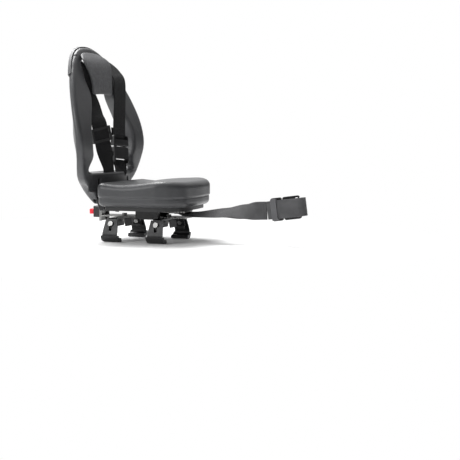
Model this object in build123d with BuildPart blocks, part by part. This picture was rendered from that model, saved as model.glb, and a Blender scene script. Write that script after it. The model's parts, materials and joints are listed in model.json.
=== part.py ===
"""Junior child seat for the rear rack of a bicycle.

Foam seat and folding foam backrest with a shoulder harness, on a quick-release rail with two cross
clamps that hook under the rack's tubes, and a safety strap that goes round the saddle post.
Millimetres. +X points to the front of the bicycle, +Y to its left and +Z up. The origin is midway
between the four hooks, level with their undersides.
"""
import os
from math import asin, atan2, cos, degrees, radians, sin, tan

from build123d import *

os.makedirs("parts", exist_ok=True)

# Fits and clearances
slide_gap = 0.2
running_gap = 0.08
foam_gap = 0.3

# Rack tubes that the clamps are made for
tube_diameter = 14.0
tube_spacing = 114.0

# Hooks
hook_spacing = 101.0
hook_sheet = 3.0
hook_lean = 20.0
hook_top_z = 46.0
hook_foot_width = 33.0
hook_head_width = 25.0
hook_wrap_end = -108.0
shoe_skin = 2.0
shoe_width = 38.0
shoe_start = -4.0
shoe_end = -118.0
hook_slot_width = 7.0
hook_slot_length = 19.0
hook_slot_z = 30.5

# Hook screws
screw_shank = 5.0
screw_head_diameter = 12.0
screw_head_height = 3.4
screw_nut_width = 8.0
screw_nut_height = 4.0
head_taper = 15.0
countersink = 45.0

# Cross clamps
bar_sheet = 3.0
bar_width = 20.0
saddle_height = 3.0
saddle_width = 7.2
foot_reach = 4.5
bracket_length = 31.0
bracket_top = 15.0
bracket_foot = 20.0
bracket_height = 17.0
bracket_sheet = 2.0
clamp_bolt = 6.0
clamp_bolt_head = 10.0
clamp_bolt_head_height = 4.0
clamp_nut_height = 5.0

# Rails
rail_length = 190.0
rail_width = 40.0
rail_sheet = 2.5
rail_space = 9.5
tooth_pitch = 6.0
tooth_depth = 2.2
tooth_count = 8

# Runner block
runner_length = 52.0
runner_width = 54.0
runner_x = 13.5
runner_wall = 3.6

# Latch
latch_plate_width = 36.0
latch_plate_depth = 7.0
latch_plate_sheet = 2.5
latch_plate_low = 38.0
latch_plate_high = 61.0
housing_depth = 13.5
housing_width = 30.0
housing_low = 45.0
housing_high = 68.5
housing_wall = 2.4
button_width = 13.0
button_height = 11.0
button_z = 56.5
button_reach = 14.0
button_flange = 2.5
button_flange_rim = 2.2
button_travel = 5.0
spring_wire = 0.9
spring_radius = 3.4
spring_turns = 4.0

# Seat cushion
cushion_rear_x = -64.0
cushion_front_x = 122.0
cushion_half_width = 102.0
cushion_low_z = 74.0
cushion_rear_top = 126.0
cushion_dish_top = 121.5
cushion_crown_top = 128.0
cushion_nose_top = 123.0
cushion_nose_fall = 5.0
cushion_overrun = 20.0
cushion_dish_x = -15.0
cushion_crown_x = 58.0
cushion_front_bow = 9.0
cushion_front_sweep = 260.0
cushion_rear_corner = 14.0
cushion_front_corner = 56.0
cushion_top_round = 12.0
cushion_low_round = 10.0
crease_z = 97.0
crease_width = 1.6
crease_depth = 1.0

# Seat pan
pan_inset = 13.0
pan_height = 8.0
pan_wall = 3.5
pan_rear_corner = 4.0
pan_boss = 10.0
pan_boss_x = -43.0
pan_boss_half = 48.0

# Backrest stations: height, front face, rear face on the centre line, half width
top_z = 396.0
top_front_x = -134.0
top_rear_x = -146.0
head_z = 345.0
head_front_x = -114.5
head_rear_x = -143.0
head_half = 92.5
chest_z = 256.0
chest_front_x = -83.0
chest_rear_x = -135.0
wing_z = 188.0
wing_front_x = -71.0
wing_rear_x = -129.0
wing_half = 139.0
waist_z = 126.0
waist_front_x = -80.0
waist_rear_x = -125.0
waist_half = 109.0
tail_z = 76.0
tail_front_x = -69.8
tail_rear_x = -97.0
tail_half = 62.0
tail_slope = 0.4
back_curve_x = 115.0
foam_round = 5.5

# Opening of the backrest
hole_top_z = 378.0
hole_shoulder_z = 352.0
hole_shoulder_half = 59.0
hole_chest_z = 262.0
hole_chest_half = 80.0
hole_side_z = 176.0
hole_side_half = 97.5
hole_low_z = 140.0
hole_corner = 22.0

# Headboard, lumbar bulge and rear cover
headboard_top_x = -129.0
headboard_top_z = 386.0
headboard_brow_x = -110.0
headboard_brow_z = 366.0
headboard_brow_half = 54.0
headboard_mid_x = -99.0
headboard_mid_z = 330.0
headboard_chin_x = -96.0
headboard_chin_z = 286.0
headboard_chin_half = 40.0
headboard_arch_z = 299.0
headboard_sheet = 5.5
headboard_corner = 9.0
lumbar_front_x = -68.0
lumbar_half = 100.0
lumbar_low_z = 100.0
lumbar_round = 5.0
cover_sheet = 2.0
cover_setback = 6.0
cover_edge_x = -132.0
cover_edge_z = 331.5
cover_slope = 35.0

# Backrest hinge
pivot_x = -94.0
pivot_z = 123.0
pivot_pin = 7.0
pivot_head = 12.0
fold_limit = 55.0
pivot_head_height = 2.0
ear_half = 60.0
ear_sheet = 3.0
ear_radius = 7.5
stop_plate_top = 92.0
bracket_flange_depth = 33.0
stop_plate_x = -69.5
bracket_screw = 5.0
bracket_screw_head = 9.0
bracket_screw_head_height = 2.4
leaf_sheet = 2.7
leaf_drop = 22.0
leaf_sweep = 8.0
leaf_radius = 7.5
leaf_pitch = 0.5
leaf_screw = 4.0
leaf_screw_head = 8.0
leaf_screw_length = 12.0
notch_radius = 9.0
notch_inner = 57.5

# Harness
web_width = 38.0
web_sheet = 2.0
web_low_z = 112.0
glide_z = 217.0
glide_height = 30.0
glide_bar = 5.0
glide_sheet = 2.2
glide_rim = 4.5
tail_length = 18.0

# Places along each shoulder web from its root down: x, distance from the middle, height and turn of
# the web about the upright; then the two ends of its flat stretch, its turn there, and its low end
web_stations = {
    "right": [
        (-134.0, 46.0, 371.0, 98.0),
        (-117.0, 58.0, 350.0, 103.0),
        (-108.0, 63.0, 322.0, 105.0),
        (-92.0, 66.0, 297.0, 98.0),
        (-86.5, 54.0, 263.0, 87.0),
    ],
    "left": [
        (-134.0, 46.0, 371.0, 98.0),
        (-120.0, 60.0, 361.0, 100.0),
        (-106.0, 70.0, 346.0, 101.0),
        (-96.0, 69.0, 331.0, 101.0),
        (-91.0, 62.0, 300.0, 101.0),
    ],
}
web_flats = {
    "right": [(-82.0, 49.5, 240.0), (-76.5, 42.0, 195.0)],
    "left": [(-86.0, 48.0, 232.0), (-79.0, 38.0, 150.0)],
}
web_turns = {"right": 64.0, "left": 103.0}
web_ends = {"right": (-74.4, 22.0, 150.0, 90.0), "left": (-74.4, 26.0, 134.0, 90.0)}

# Side-release buckle, measured up and down from its middle
buckle_z = 185.0
buckle_width = 46.0
buckle_sheet = 10.0
buckle_bar = 3.2
buckle_slot = 6.0
buckle_corner = 4.0
socket_low = -29.0
socket_high = 5.0
socket_hollow_low = -17.0
plug_low = 7.0
plug_high = 29.0
prong_low = -13.0
prong_width = 5.0
prong_sheet = 4.6
prong_inner = 12.0
prong_head = 4.5
window_low = -15.0
window_high = -5.0

# Safety strap
strap_width = 36.0
strap_sheet = 2.0
strap_start_x = 58.0
strap_leave_x = 76.0
strap_loop_z = 68.0
strap_loop_x = 262.0
strap_rise = 7.5
post_diameter = 22.0
post_x = 334.0
strap_loop_tip = 0.4
strap_loop_root = 4.0
strap_rivet = 5.0
strap_rivet_x = 68.0
strap_rivet_head = 10.0
strap_rivet_head_height = 1.6
slider_along = 16.0
slider_length = 12.0
slider_rim = 3.0
slider_bar = 2.0
strap_buckle_along = 36.0

# Places along the safety strap: x, height, turn of the web up from lying flat
strap_stations = [(104.0, 56.0, 12.0), (171.0, 61.5, 27.0), (215.0, 65.0, 50.0), (246.0, 67.5, 84.0)]

# Values that follow
tube_half = tube_spacing / 2
tube_radius = tube_diameter / 2
hook_inner = tube_radius + shoe_skin
hook_outer = hook_inner + hook_sheet
shoe_outer = hook_outer + shoe_skin
tube_z = shoe_outer
lean_cos = cos(radians(hook_lean))
lean_sin = sin(radians(hook_lean))
bar_low_z = hook_top_z - 1.0
bar_top_z = bar_low_z + bar_sheet
rail_low_z = bar_top_z
rail_top_z = rail_low_z + rail_sheet
seat_rail_z = rail_top_z + rail_space
seat_rail_top_z = seat_rail_z + rail_sheet
pan_low_z = cushion_low_z - pan_height
latch_x = -rail_length / 2
housing_front_x = latch_x - latch_plate_depth
housing_rear_x = housing_front_x - housing_depth
clamp_stations = {"rear": -hook_spacing / 2, "front": hook_spacing / 2}
sides = {"left": 1, "right": -1}
web_bar_depth = -(buckle_bar + web_sheet) / 2
ear_outer = ear_half + ear_sheet
leaf_inner = ear_outer + foam_gap
leaf_outer = leaf_inner + leaf_sheet
hinge_low_z = pan_low_z - ear_sheet
ear_foot_x = stop_plate_x + ear_sheet - ear_radius / 2
notch_fall = degrees(atan2(pivot_z - hinge_low_z, ear_foot_x - pivot_x)) - fold_limit
full_span = 3 * wing_half
side_view = Plane.XZ.offset(-full_span / 2)


def side_plane(x, side):
    """Upright plane across the bicycle whose first axis points out to the given side."""
    return Plane(origin=(x, 0, 0), x_dir=(0, side, 0), z_dir=(side, 0, 0))


def tube_point(radius, angle):
    """Point at a radius and angle about the rack tube, in the plane across the bicycle."""
    return (tube_half + radius * cos(radians(angle)), tube_z + radius * sin(radians(angle)))


def lean_point(distance, z):
    """Point at a height on a line parallel to the hook's web, at a distance from the tube's axis."""
    return (tube_half + (distance - (z - tube_z) * lean_sin) / lean_cos, z)


def web_plane(x, side, distance):
    """Plane on a hook's leaning web, at a distance from the tube's axis; its second axis goes up."""
    middle = (hook_inner + hook_outer) / 2
    out = lean_point(middle, hook_slot_z)[0]
    base = Plane(origin=(x, side * out, hook_slot_z), x_dir=(-side, 0, 0),
                 z_dir=(0, side * lean_cos, lean_sin))
    return base.offset(distance - middle)


# Hooks: a bent steel strip that narrows upwards, with a slot for its screw
for end, x in clamp_stations.items():
    for side_name, side in sides.items():
        with BuildPart() as hook:
            middle = (hook_inner + hook_outer) / 2
            with BuildSketch(side_plane(x, side)):
                with BuildLine():
                    Line(lean_point(middle, hook_top_z), tube_point(middle, hook_lean))
                    CenterArc((tube_half, tube_z), middle, hook_lean, hook_wrap_end - hook_lean)
                trace(line_width=hook_sheet)
            extrude(amount=hook_foot_width / 2, both=True)
            with BuildSketch(Plane.XZ):
                with BuildLine():
                    Polyline(
                        (x - hook_foot_width / 2, 0),
                        (x + hook_foot_width / 2, 0),
                        (x + hook_foot_width / 2, tube_z + tube_radius),
                        (x + hook_head_width / 2, hook_top_z + hook_sheet),
                        (x - hook_head_width / 2, hook_top_z + hook_sheet),
                        (x - hook_foot_width / 2, tube_z + tube_radius),
                        close=True,
                    )
                make_face()
            extrude(amount=tube_spacing, both=True, mode=Mode.INTERSECT)
            with BuildSketch(web_plane(x, side, middle)):
                SlotOverall(hook_slot_length, hook_slot_width, rotation=90)
            extrude(amount=hook_sheet, both=True, mode=Mode.SUBTRACT)
        hook.part.label = f"{end}_{side_name}_hook"
        export_step(hook.part, f"parts/{end}_{side_name}_hook.step")

        # Plastic shoe that sleeves the hook's curl and grips the tube
        with BuildPart() as shoe:
            sweep_angle = shoe_end - shoe_start
            with BuildSketch(side_plane(x, side)):
                with BuildLine():
                    CenterArc((tube_half, tube_z), (tube_radius + shoe_outer) / 2, shoe_start,
                              sweep_angle)
                trace(line_width=shoe_outer - tube_radius)
            extrude(amount=shoe_width / 2, both=True)
            add(hook.part, mode=Mode.SUBTRACT)
        shoe.part.label = f"{end}_{side_name}_shoe"
        export_step(shoe.part, f"parts/{end}_{side_name}_shoe.step")


# Cross clamps: a bent bar with leaning ends that carry the hooks, and a foot over each tube
flange_middle = hook_inner - slide_gap - bar_sheet / 2
foot_z = tube_z + tube_radius + saddle_height + bar_sheet / 2
foot_inner = tube_half - foot_reach
screw_offset = (hook_slot_length - hook_slot_width) / 2

for end, x in clamp_stations.items():
    with BuildPart() as cross_bar:
        bar_middle_z = bar_low_z + bar_sheet / 2
        right_half = [
            (foot_inner, foot_z),
            lean_point(flange_middle, foot_z),
            lean_point(flange_middle, bar_middle_z),
        ]
        left_half = [(-out, z) for out, z in reversed(right_half)]
        with BuildSketch(Plane.YZ.offset(x - bar_width / 2)):
            with BuildLine():
                FilletPolyline(*right_half, *left_half, radius=bar_sheet)
            trace(line_width=bar_sheet)
        extrude(amount=bar_width)
        with Locations((x, 0, bar_low_z)):
            Cylinder(clamp_bolt / 2, bar_sheet, align=(Align.CENTER, Align.CENTER, Align.MIN),
                     mode=Mode.SUBTRACT)
        for side in sides.values():
            with BuildSketch(web_plane(x, side, flange_middle)):
                with Locations((0, screw_offset)):
                    Circle(screw_shank / 2)
            extrude(amount=bar_sheet, both=True, mode=Mode.SUBTRACT)
    cross_bar.part.label = f"{end}_cross_bar"
    export_step(cross_bar.part, f"parts/{end}_cross_bar.step")

    # Sheet bracket under the middle of the bar, open at both ends
    with BuildPart() as centre_bracket:
        bracket_top_z = bar_low_z - bracket_sheet / 2
        bracket_low_z = bar_low_z - bracket_height
        with BuildSketch(Plane.XZ):
            with BuildLine():
                FilletPolyline(
                    (x - bracket_foot / 2, bracket_low_z),
                    (x - bracket_top / 2, bracket_top_z),
                    (x + bracket_top / 2, bracket_top_z),
                    (x + bracket_foot / 2, bracket_low_z),
                    radius=bracket_sheet,
                )
            trace(line_width=bracket_sheet)
        extrude(amount=bracket_length / 2, both=True)
        with Locations((x, 0, bar_low_z)):
            Cylinder(clamp_bolt / 2, 3 * bracket_sheet, mode=Mode.SUBTRACT)
    centre_bracket.part.label = f"{end}_centre_bracket"
    export_step(centre_bracket.part, f"parts/{end}_centre_bracket.step")

# Rubber saddles between the clamps' feet and the tubes
with BuildPart() as tube_saddles:
    saddle_low_z = tube_z + tube_radius / 2
    saddle_top_z = tube_z + tube_radius + saddle_height
    for x in clamp_stations.values():
        for side in sides.values():
            with BuildSketch(side_plane(x, side)):
                with Locations((foot_inner, saddle_low_z)):
                    Rectangle(saddle_width, saddle_top_z - saddle_low_z,
                              align=(Align.MIN, Align.MIN))
                with Locations((tube_half, tube_z)):
                    Circle(tube_radius, mode=Mode.SUBTRACT)
            extrude(amount=bar_width / 2, both=True)
tube_saddles.part.label = "tube_saddles"
export_step(tube_saddles.part, "parts/tube_saddles.step")

# Screws and nuts that hold the hooks to the bars
with BuildPart() as hook_screws:
    for x in clamp_stations.values():
        for side in sides.values():
            head = web_plane(x, side, hook_outer + slide_gap)
            with BuildSketch(head):
                with Locations((0, screw_offset)):
                    Circle(screw_head_diameter / 2)
            extrude(amount=screw_head_height, taper=head_taper)
            with BuildSketch(head):
                with Locations((0, screw_offset)):
                    Circle(screw_shank / 2)
            extrude(amount=-(hook_outer + slide_gap - flange_middle + bar_sheet / 2 + screw_nut_height))
hook_screws.part.label = "hook_screws"
export_step(hook_screws.part, "parts/hook_screws.step")

with BuildPart() as hook_nuts:
    for x in clamp_stations.values():
        for side in sides.values():
            with BuildSketch(web_plane(x, side, flange_middle - bar_sheet / 2)):
                with Locations((0, screw_offset)):
                    RegularPolygon(screw_nut_width / 2, 6, major_radius=False)
                    Circle(screw_shank / 2, mode=Mode.SUBTRACT)
            extrude(amount=-screw_nut_height)
hook_nuts.part.label = "hook_nuts"
export_step(hook_nuts.part, "parts/hook_nuts.step")

# Bolts and nuts that hold the bars and brackets to the lower rail
bolt_nut_top_z = bar_low_z - bracket_sheet
with BuildPart() as clamp_bolts:
    for x in clamp_stations.values():
        with BuildSketch(Plane.XY.offset(rail_top_z)):
            with Locations((x, 0)):
                RegularPolygon(clamp_bolt_head / 2, 6, major_radius=False)
        extrude(amount=clamp_bolt_head_height)
        with BuildSketch(Plane.XY.offset(bolt_nut_top_z - clamp_nut_height)):
            with Locations((x, 0)):
                Circle(clamp_bolt / 2)
        extrude(amount=rail_top_z - bolt_nut_top_z + clamp_nut_height)
clamp_bolts.part.label = "clamp_bolts"
export_step(clamp_bolts.part, "parts/clamp_bolts.step")

with BuildPart() as clamp_nuts:
    for x in clamp_stations.values():
        with BuildSketch(Plane.XY.offset(bolt_nut_top_z)):
            with Locations((x, 0)):
                RegularPolygon(clamp_bolt_head / 2, 6, major_radius=False)
                Circle(clamp_bolt / 2, mode=Mode.SUBTRACT)
        extrude(amount=-clamp_nut_height)
clamp_nuts.part.label = "clamp_nuts"
export_step(clamp_nuts.part, "parts/clamp_nuts.step")


def serrated_rail(low_z):
    """Flat steel rail whose front edges are cut into teeth."""
    with BuildPart() as rail:
        with BuildSketch(Plane.XY.offset(low_z)):
            RectangleRounded(rail_length, rail_width, rail_sheet)
            for side in sides.values():
                for tooth in range(tooth_count):
                    tip_x = rail_length / 2 - tooth_pitch * (tooth + 1)
                    edge_y = side * rail_width / 2
                    with BuildLine():
                        Polyline(
                            (tip_x - tooth_pitch / 3, edge_y),
                            (tip_x, edge_y - side * tooth_depth),
                            (tip_x + tooth_pitch / 3, edge_y),
                            close=True,
                        )
                    make_face(mode=Mode.SUBTRACT)
        extrude(amount=rail_sheet)
    return rail


# Lower rail, which stays on the rack, and upper rail, which carries the seat
carrier_rail = serrated_rail(rail_low_z)
with carrier_rail:
    for x in clamp_stations.values():
        with Locations((x, 0, rail_low_z)):
            Cylinder(clamp_bolt / 2, 3 * rail_sheet, mode=Mode.SUBTRACT)
carrier_rail.part.label = "carrier_rail"
export_step(carrier_rail.part, "parts/carrier_rail.step")

seat_rail = serrated_rail(seat_rail_z)
seat_rail.part.label = "seat_rail"
export_step(seat_rail.part, "parts/seat_rail.step")

# Plastic runner that sleeves both rails
with BuildPart() as runner_block:
    runner_low_z = rail_low_z - runner_wall
    runner_top_z = pan_low_z - slide_gap
    with BuildSketch(Plane.YZ.offset(runner_x - runner_length / 2)):
        with Locations((0, (runner_low_z + runner_top_z) / 2)):
            RectangleRounded(runner_width, runner_top_z - runner_low_z, runner_wall / 2)
        with Locations((0, (rail_low_z + seat_rail_top_z) / 2)):
            Rectangle(rail_width + 2 * slide_gap, seat_rail_top_z - rail_low_z + 2 * slide_gap,
                      mode=Mode.SUBTRACT)
    extrude(amount=runner_length)
    chamfer(runner_block.faces().filter_by(Plane.YZ).edges().filter_by(GeomType.LINE, reverse=True),
            length=0.6)
runner_block.part.label = "runner_block"
export_step(runner_block.part, "parts/runner_block.step")

# Latch plate across the rear end of the rails
with BuildPart() as latch_plate:
    with BuildSketch(Plane.XY.offset(latch_plate_low)):
        with BuildLine():
            FilletPolyline(
                (latch_x, latch_plate_width / 2 - latch_plate_sheet / 2),
                (housing_front_x + latch_plate_sheet / 2, latch_plate_width / 2 - latch_plate_sheet / 2),
                (housing_front_x + latch_plate_sheet / 2, -latch_plate_width / 2 + latch_plate_sheet / 2),
                (latch_x, -latch_plate_width / 2 + latch_plate_sheet / 2),
                radius=latch_plate_sheet,
            )
        trace(line_width=latch_plate_sheet)
    extrude(amount=latch_plate_high - latch_plate_low)
latch_plate.part.label = "latch_plate"
export_step(latch_plate.part, "parts/latch_plate.step")

# Housing behind it, open at the front, with a window for the button
with BuildPart() as latch_housing:
    housing_middle_z = (housing_low + housing_high) / 2
    housing_height = housing_high - housing_low
    with BuildSketch(Plane.YZ.offset(housing_rear_x)):
        with Locations((0, housing_middle_z)):
            RectangleRounded(housing_width, housing_height, housing_wall)
    extrude(amount=housing_depth)
    with BuildSketch(Plane.YZ.offset(housing_rear_x + housing_wall)):
        with Locations((0, housing_middle_z)):
            Rectangle(housing_width - 2 * housing_wall, housing_height - 2 * housing_wall)
    extrude(amount=housing_depth, mode=Mode.SUBTRACT)
    with BuildSketch(Plane.YZ.offset(housing_rear_x)):
        with Locations((0, button_z)):
            Rectangle(button_width + 2 * foam_gap, button_height + 2 * foam_gap)
    extrude(amount=housing_wall, mode=Mode.SUBTRACT)
latch_housing.part.label = "latch_housing"
export_step(latch_housing.part, "parts/latch_housing.step")

with BuildPart() as release_button:
    flange_rear_x = housing_rear_x + housing_wall + slide_gap
    button_rear_x = housing_rear_x - button_reach
    with BuildSketch(Plane.YZ.offset(button_rear_x)):
        with Locations((0, button_z)):
            RectangleRounded(button_width, button_height, button_flange_rim)
    extrude(amount=flange_rear_x - button_rear_x + button_flange)
    fillet(release_button.faces().sort_by(Axis.X)[0].edges(), radius=button_flange_rim / 2)
    with BuildSketch(Plane.YZ.offset(flange_rear_x)):
        with Locations((0, button_z)):
            Rectangle(button_width + 2 * button_flange_rim, button_height + 2 * button_flange_rim)
    extrude(amount=button_flange)
release_button.part.label = "release_button"
export_step(release_button.part, "parts/release_button.step")

with BuildPart() as button_spring:
    spring_rear_x = flange_rear_x + button_flange + spring_wire / 2
    spring_length = housing_front_x - spring_rear_x - spring_wire / 2
    with BuildLine():
        coil = Helix(pitch=spring_length / spring_turns, height=spring_length, radius=spring_radius,
                     center=(spring_rear_x, 0, button_z), direction=(1, 0, 0))
    with BuildSketch(Plane(origin=coil @ 0, z_dir=coil % 0)):
        Circle(spring_wire / 2)
    sweep(is_frenet=True)
button_spring.part.label = "button_spring"
export_step(button_spring.part, "parts/button_spring.step")


def cushion_plan(inset):
    """Edges of the cushion's plan, drawn in by an inset: rounded behind and bowed in front."""
    half = cushion_half_width - inset
    rear_x = cushion_rear_x + inset
    front_x = cushion_front_x - inset
    with BuildLine() as outline:
        FilletPolyline(
            (rear_x, -half),
            (front_x - cushion_front_bow, -half),
            (front_x, 0),
            (front_x - cushion_front_bow, half),
            (rear_x, half),
            radius=[
                max(cushion_rear_corner - inset, pan_rear_corner),
                cushion_front_corner - inset,
                cushion_front_sweep,
                cushion_front_corner - inset,
                max(cushion_rear_corner - inset, pan_rear_corner),
            ],
            close=True,
        )
    return outline.edges()


# Seat cushion: one foam moulding, dished behind and crowned in front, with a crease round its side
with BuildPart() as seat_cushion:
    with BuildSketch(Plane.XY.offset(cushion_low_z)):
        make_face(cushion_plan(0))
    extrude(amount=2 * cushion_low_z)
    with BuildSketch(side_view):
        with BuildLine():
            crown = Spline(
                (cushion_rear_x - cushion_overrun, cushion_rear_top),
                (cushion_dish_x, cushion_dish_top),
                (cushion_crown_x, cushion_crown_top),
                (cushion_front_x, cushion_nose_top),
                (cushion_front_x + cushion_overrun, cushion_nose_top - cushion_nose_fall),
            )
            Polyline(
                crown @ 1,
                (cushion_front_x + cushion_overrun, cushion_low_z),
                (cushion_rear_x - cushion_overrun, cushion_low_z),
                crown @ 0,
            )
        make_face()
    extrude(amount=full_span, mode=Mode.INTERSECT)
    fillet(seat_cushion.faces().sort_by(Axis.Z)[-1].edges(), radius=cushion_top_round)
    fillet(seat_cushion.faces().sort_by(Axis.Z)[0].edges(), radius=cushion_low_round)
    with BuildSketch(Plane.XY.offset(crease_z - crease_width / 2)):
        make_face(cushion_plan(-crease_depth))
        make_face(cushion_plan(crease_depth), mode=Mode.SUBTRACT)
    extrude(amount=crease_width, mode=Mode.SUBTRACT)
seat_cushion.part.label = "seat_cushion"
export_step(seat_cushion.part, "parts/seat_cushion.step")

# Seat pan: a plastic tray upside down under the cushion, with two spines that stand on the upper rail
with BuildPart() as seat_pan:
    with BuildSketch(Plane.XY.offset(pan_low_z)):
        make_face(cushion_plan(pan_inset))
    extrude(amount=pan_height)
    with BuildSketch(Plane.XY.offset(pan_low_z)):
        make_face(cushion_plan(pan_inset + pan_wall))
    extrude(amount=pan_height - pan_wall, mode=Mode.SUBTRACT)
    spine_ends = [
        (cushion_rear_x + pan_inset, runner_x - runner_length / 2 - foam_gap),
        (runner_x + runner_length / 2 + foam_gap, rail_length / 2),
    ]
    for rear_x, front_x in spine_ends:
        with BuildSketch(Plane.XY.offset(seat_rail_top_z)):
            with Locations(((rear_x + front_x) / 2, 0)):
                Rectangle(front_x - rear_x, rail_width)
        extrude(amount=cushion_low_z - seat_rail_top_z)
    with BuildSketch(Plane.XY.offset(pan_low_z)):
        with Locations((pan_boss_x, pan_boss_half), (pan_boss_x, -pan_boss_half)):
            Circle(pan_boss / 2)
    extrude(amount=pan_height)
    with BuildSketch(Plane.XY.offset(pan_low_z)):
        with Locations((pan_boss_x, pan_boss_half), (pan_boss_x, -pan_boss_half)):
            Circle(bracket_screw / 2)
    extrude(amount=pan_height - pan_wall / 2, mode=Mode.SUBTRACT)
seat_pan.part.label = "seat_pan"
export_step(seat_pan.part, "parts/seat_pan.step")

# Hinge bracket: folded sheet with a flange under the pan, a stop plate and two ears
with BuildPart() as hinge_bracket:
    flange_front_x = stop_plate_x + bracket_flange_depth
    with BuildSketch(Plane.XZ):
        with Locations((stop_plate_x, hinge_low_z)):
            Rectangle(bracket_flange_depth, ear_sheet, align=(Align.MIN, Align.MIN))
            Rectangle(ear_sheet, stop_plate_top - hinge_low_z, align=(Align.MIN, Align.MIN))
    extrude(amount=ear_outer, both=True)
    with BuildSketch(Plane.XY.offset(hinge_low_z)):
        with Locations((flange_front_x, 0)):
            Rectangle(2 * (flange_front_x - cushion_rear_x - pan_inset), rail_width + 2 * slide_gap)
    extrude(amount=ear_sheet, mode=Mode.SUBTRACT)
    for side in sides.values():
        with BuildSketch(Plane.XZ.offset(-side * ear_half)):
            with Locations((pivot_x, pivot_z)):
                Circle(ear_radius)
            with Locations((ear_foot_x, hinge_low_z)):
                Rectangle(ear_radius, ear_sheet, align=(Align.CENTER, Align.MIN))
            make_hull()
            with Locations((pivot_x, pivot_z)):
                Circle(pivot_pin / 2, mode=Mode.SUBTRACT)
        extrude(amount=-side * ear_sheet)
    with BuildSketch(Plane.XY.offset(hinge_low_z)):
        with Locations((pan_boss_x, pan_boss_half), (pan_boss_x, -pan_boss_half)):
            Circle(bracket_screw / 2)
    extrude(amount=ear_sheet, mode=Mode.SUBTRACT)
hinge_bracket.part.label = "hinge_bracket"
export_step(hinge_bracket.part, "parts/hinge_bracket.step")

with BuildPart() as bracket_screws:
    with BuildSketch(Plane.XY.offset(hinge_low_z)):
        with Locations((pan_boss_x, pan_boss_half), (pan_boss_x, -pan_boss_half)):
            Circle(bracket_screw_head / 2)
    extrude(amount=-bracket_screw_head_height, taper=head_taper)
    with BuildSketch(Plane.XY.offset(hinge_low_z)):
        with Locations((pan_boss_x, pan_boss_half), (pan_boss_x, -pan_boss_half)):
            Circle(bracket_screw / 2)
    extrude(amount=ear_sheet + pan_height - pan_wall / 2)
bracket_screws.part.label = "bracket_screws"
export_step(bracket_screws.part, "parts/bracket_screws.step")

# Hinge pins, fixed in the ears
with BuildPart() as hinge_pins:
    for side in sides.values():
        with BuildSketch(Plane.XZ.offset(-side * ear_half)):
            with Locations((pivot_x, pivot_z)):
                Circle(pivot_head / 2)
        extrude(amount=side * pivot_head_height)
        with BuildSketch(Plane.XZ.offset(-side * ear_half)):
            with Locations((pivot_x, pivot_z)):
                Circle(pivot_pin / 2)
        extrude(amount=-side * (leaf_outer - foam_gap - ear_half))
hinge_pins.part.label = "hinge_pins"
export_step(hinge_pins.part, "parts/hinge_pins.step")

# Countersunk screws that hold the hinge leaves to the foam
leaf_end = (pivot_x + leaf_sweep, pivot_z - leaf_drop)
leaf_screw_spots = [(pivot_x + leaf_sweep * leaf_pitch, pivot_z - leaf_drop * leaf_pitch), leaf_end]
with BuildPart() as leaf_screws:
    for side in sides.values():
        with BuildSketch(Plane.XZ.offset(-side * leaf_inner)):
            with Locations(*leaf_screw_spots):
                Circle(leaf_screw_head / 2)
        extrude(amount=-side * (leaf_screw_head - leaf_screw) / 2, taper=countersink)
        with BuildSketch(Plane.XZ.offset(-side * leaf_inner)):
            with Locations(*leaf_screw_spots):
                Circle(leaf_screw / 2)
        extrude(amount=-side * leaf_screw_length)
leaf_screws.part.label = "leaf_screws"
export_step(leaf_screws.part, "parts/leaf_screws.step")

# Hinge leaves on the backrest, turning on the pins
leaves = {}
for side_name, side in sides.items():
    with BuildPart() as hinge_leaf:
        with BuildSketch(Plane.XZ.offset(-side * leaf_inner)):
            with Locations((pivot_x, pivot_z), leaf_end):
                Circle(leaf_radius)
            make_hull()
            with Locations((pivot_x, pivot_z)):
                Circle(pivot_pin / 2 + running_gap, mode=Mode.SUBTRACT)
        extrude(amount=-side * leaf_sheet)
        add(leaf_screws.part, mode=Mode.SUBTRACT)
    hinge_leaf.part.label = f"{side_name}_hinge_leaf"
    export_step(hinge_leaf.part, f"parts/{side_name}_hinge_leaf.step")
    leaves[side_name] = hinge_leaf


def front_points(shift):
    """Front face of the backrest in side view, from the top down, moved forward by a shift."""
    return [
        (top_front_x + shift, top_z),
        (head_front_x + shift, head_z),
        (chest_front_x + shift, chest_z),
        (wing_front_x + shift, wing_z),
        (waist_front_x + shift, waist_z),
        (tail_front_x + shift, tail_z),
    ]


def rear_points(grow):
    """Rear face on the centre line, from the top down: distance from the plan curve's axis, height."""
    return [
        (back_curve_x - top_rear_x + grow, top_z + grow),
        (back_curve_x - head_rear_x + grow, head_z),
        (back_curve_x - chest_rear_x + grow, chest_z),
        (back_curve_x - wing_rear_x + grow, wing_z),
        (back_curve_x - waist_rear_x + grow, waist_z),
        (back_curve_x - tail_rear_x + grow, tail_z),
    ]


def outer_outline(grow):
    """Edges of the backrest's egg-shaped outline in front view, grown by a margin."""
    with BuildLine() as outline:
        Spline(
            (0, top_z + grow),
            (head_half + grow, head_z),
            (wing_half + grow, wing_z),
            (waist_half + grow, waist_z),
            (tail_half + grow, tail_z),
            tangents=((1, 0), (-tail_slope, -1)),
        )
        Line((tail_half + grow, tail_z), (0, tail_z))
        mirror(about=Plane.YZ)
    return outline.edges()


def hole_outline(grow):
    """Edges of the opening in front view, grown by a margin: narrow shoulders and a wide foot."""
    with BuildLine() as outline:
        low_corner = (hole_side_half - hole_corner, hole_low_z - grow)
        Spline(
            (0, hole_top_z + grow),
            (hole_shoulder_half + grow, hole_shoulder_z),
            (hole_chest_half + grow, hole_chest_z),
            (hole_side_half + grow, hole_side_z),
            low_corner,
            tangents=((1, 0), (-1, 0)),
        )
        Line(low_corner, (0, hole_low_z - grow))
        mirror(about=Plane.YZ)
    return outline.edges()


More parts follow.
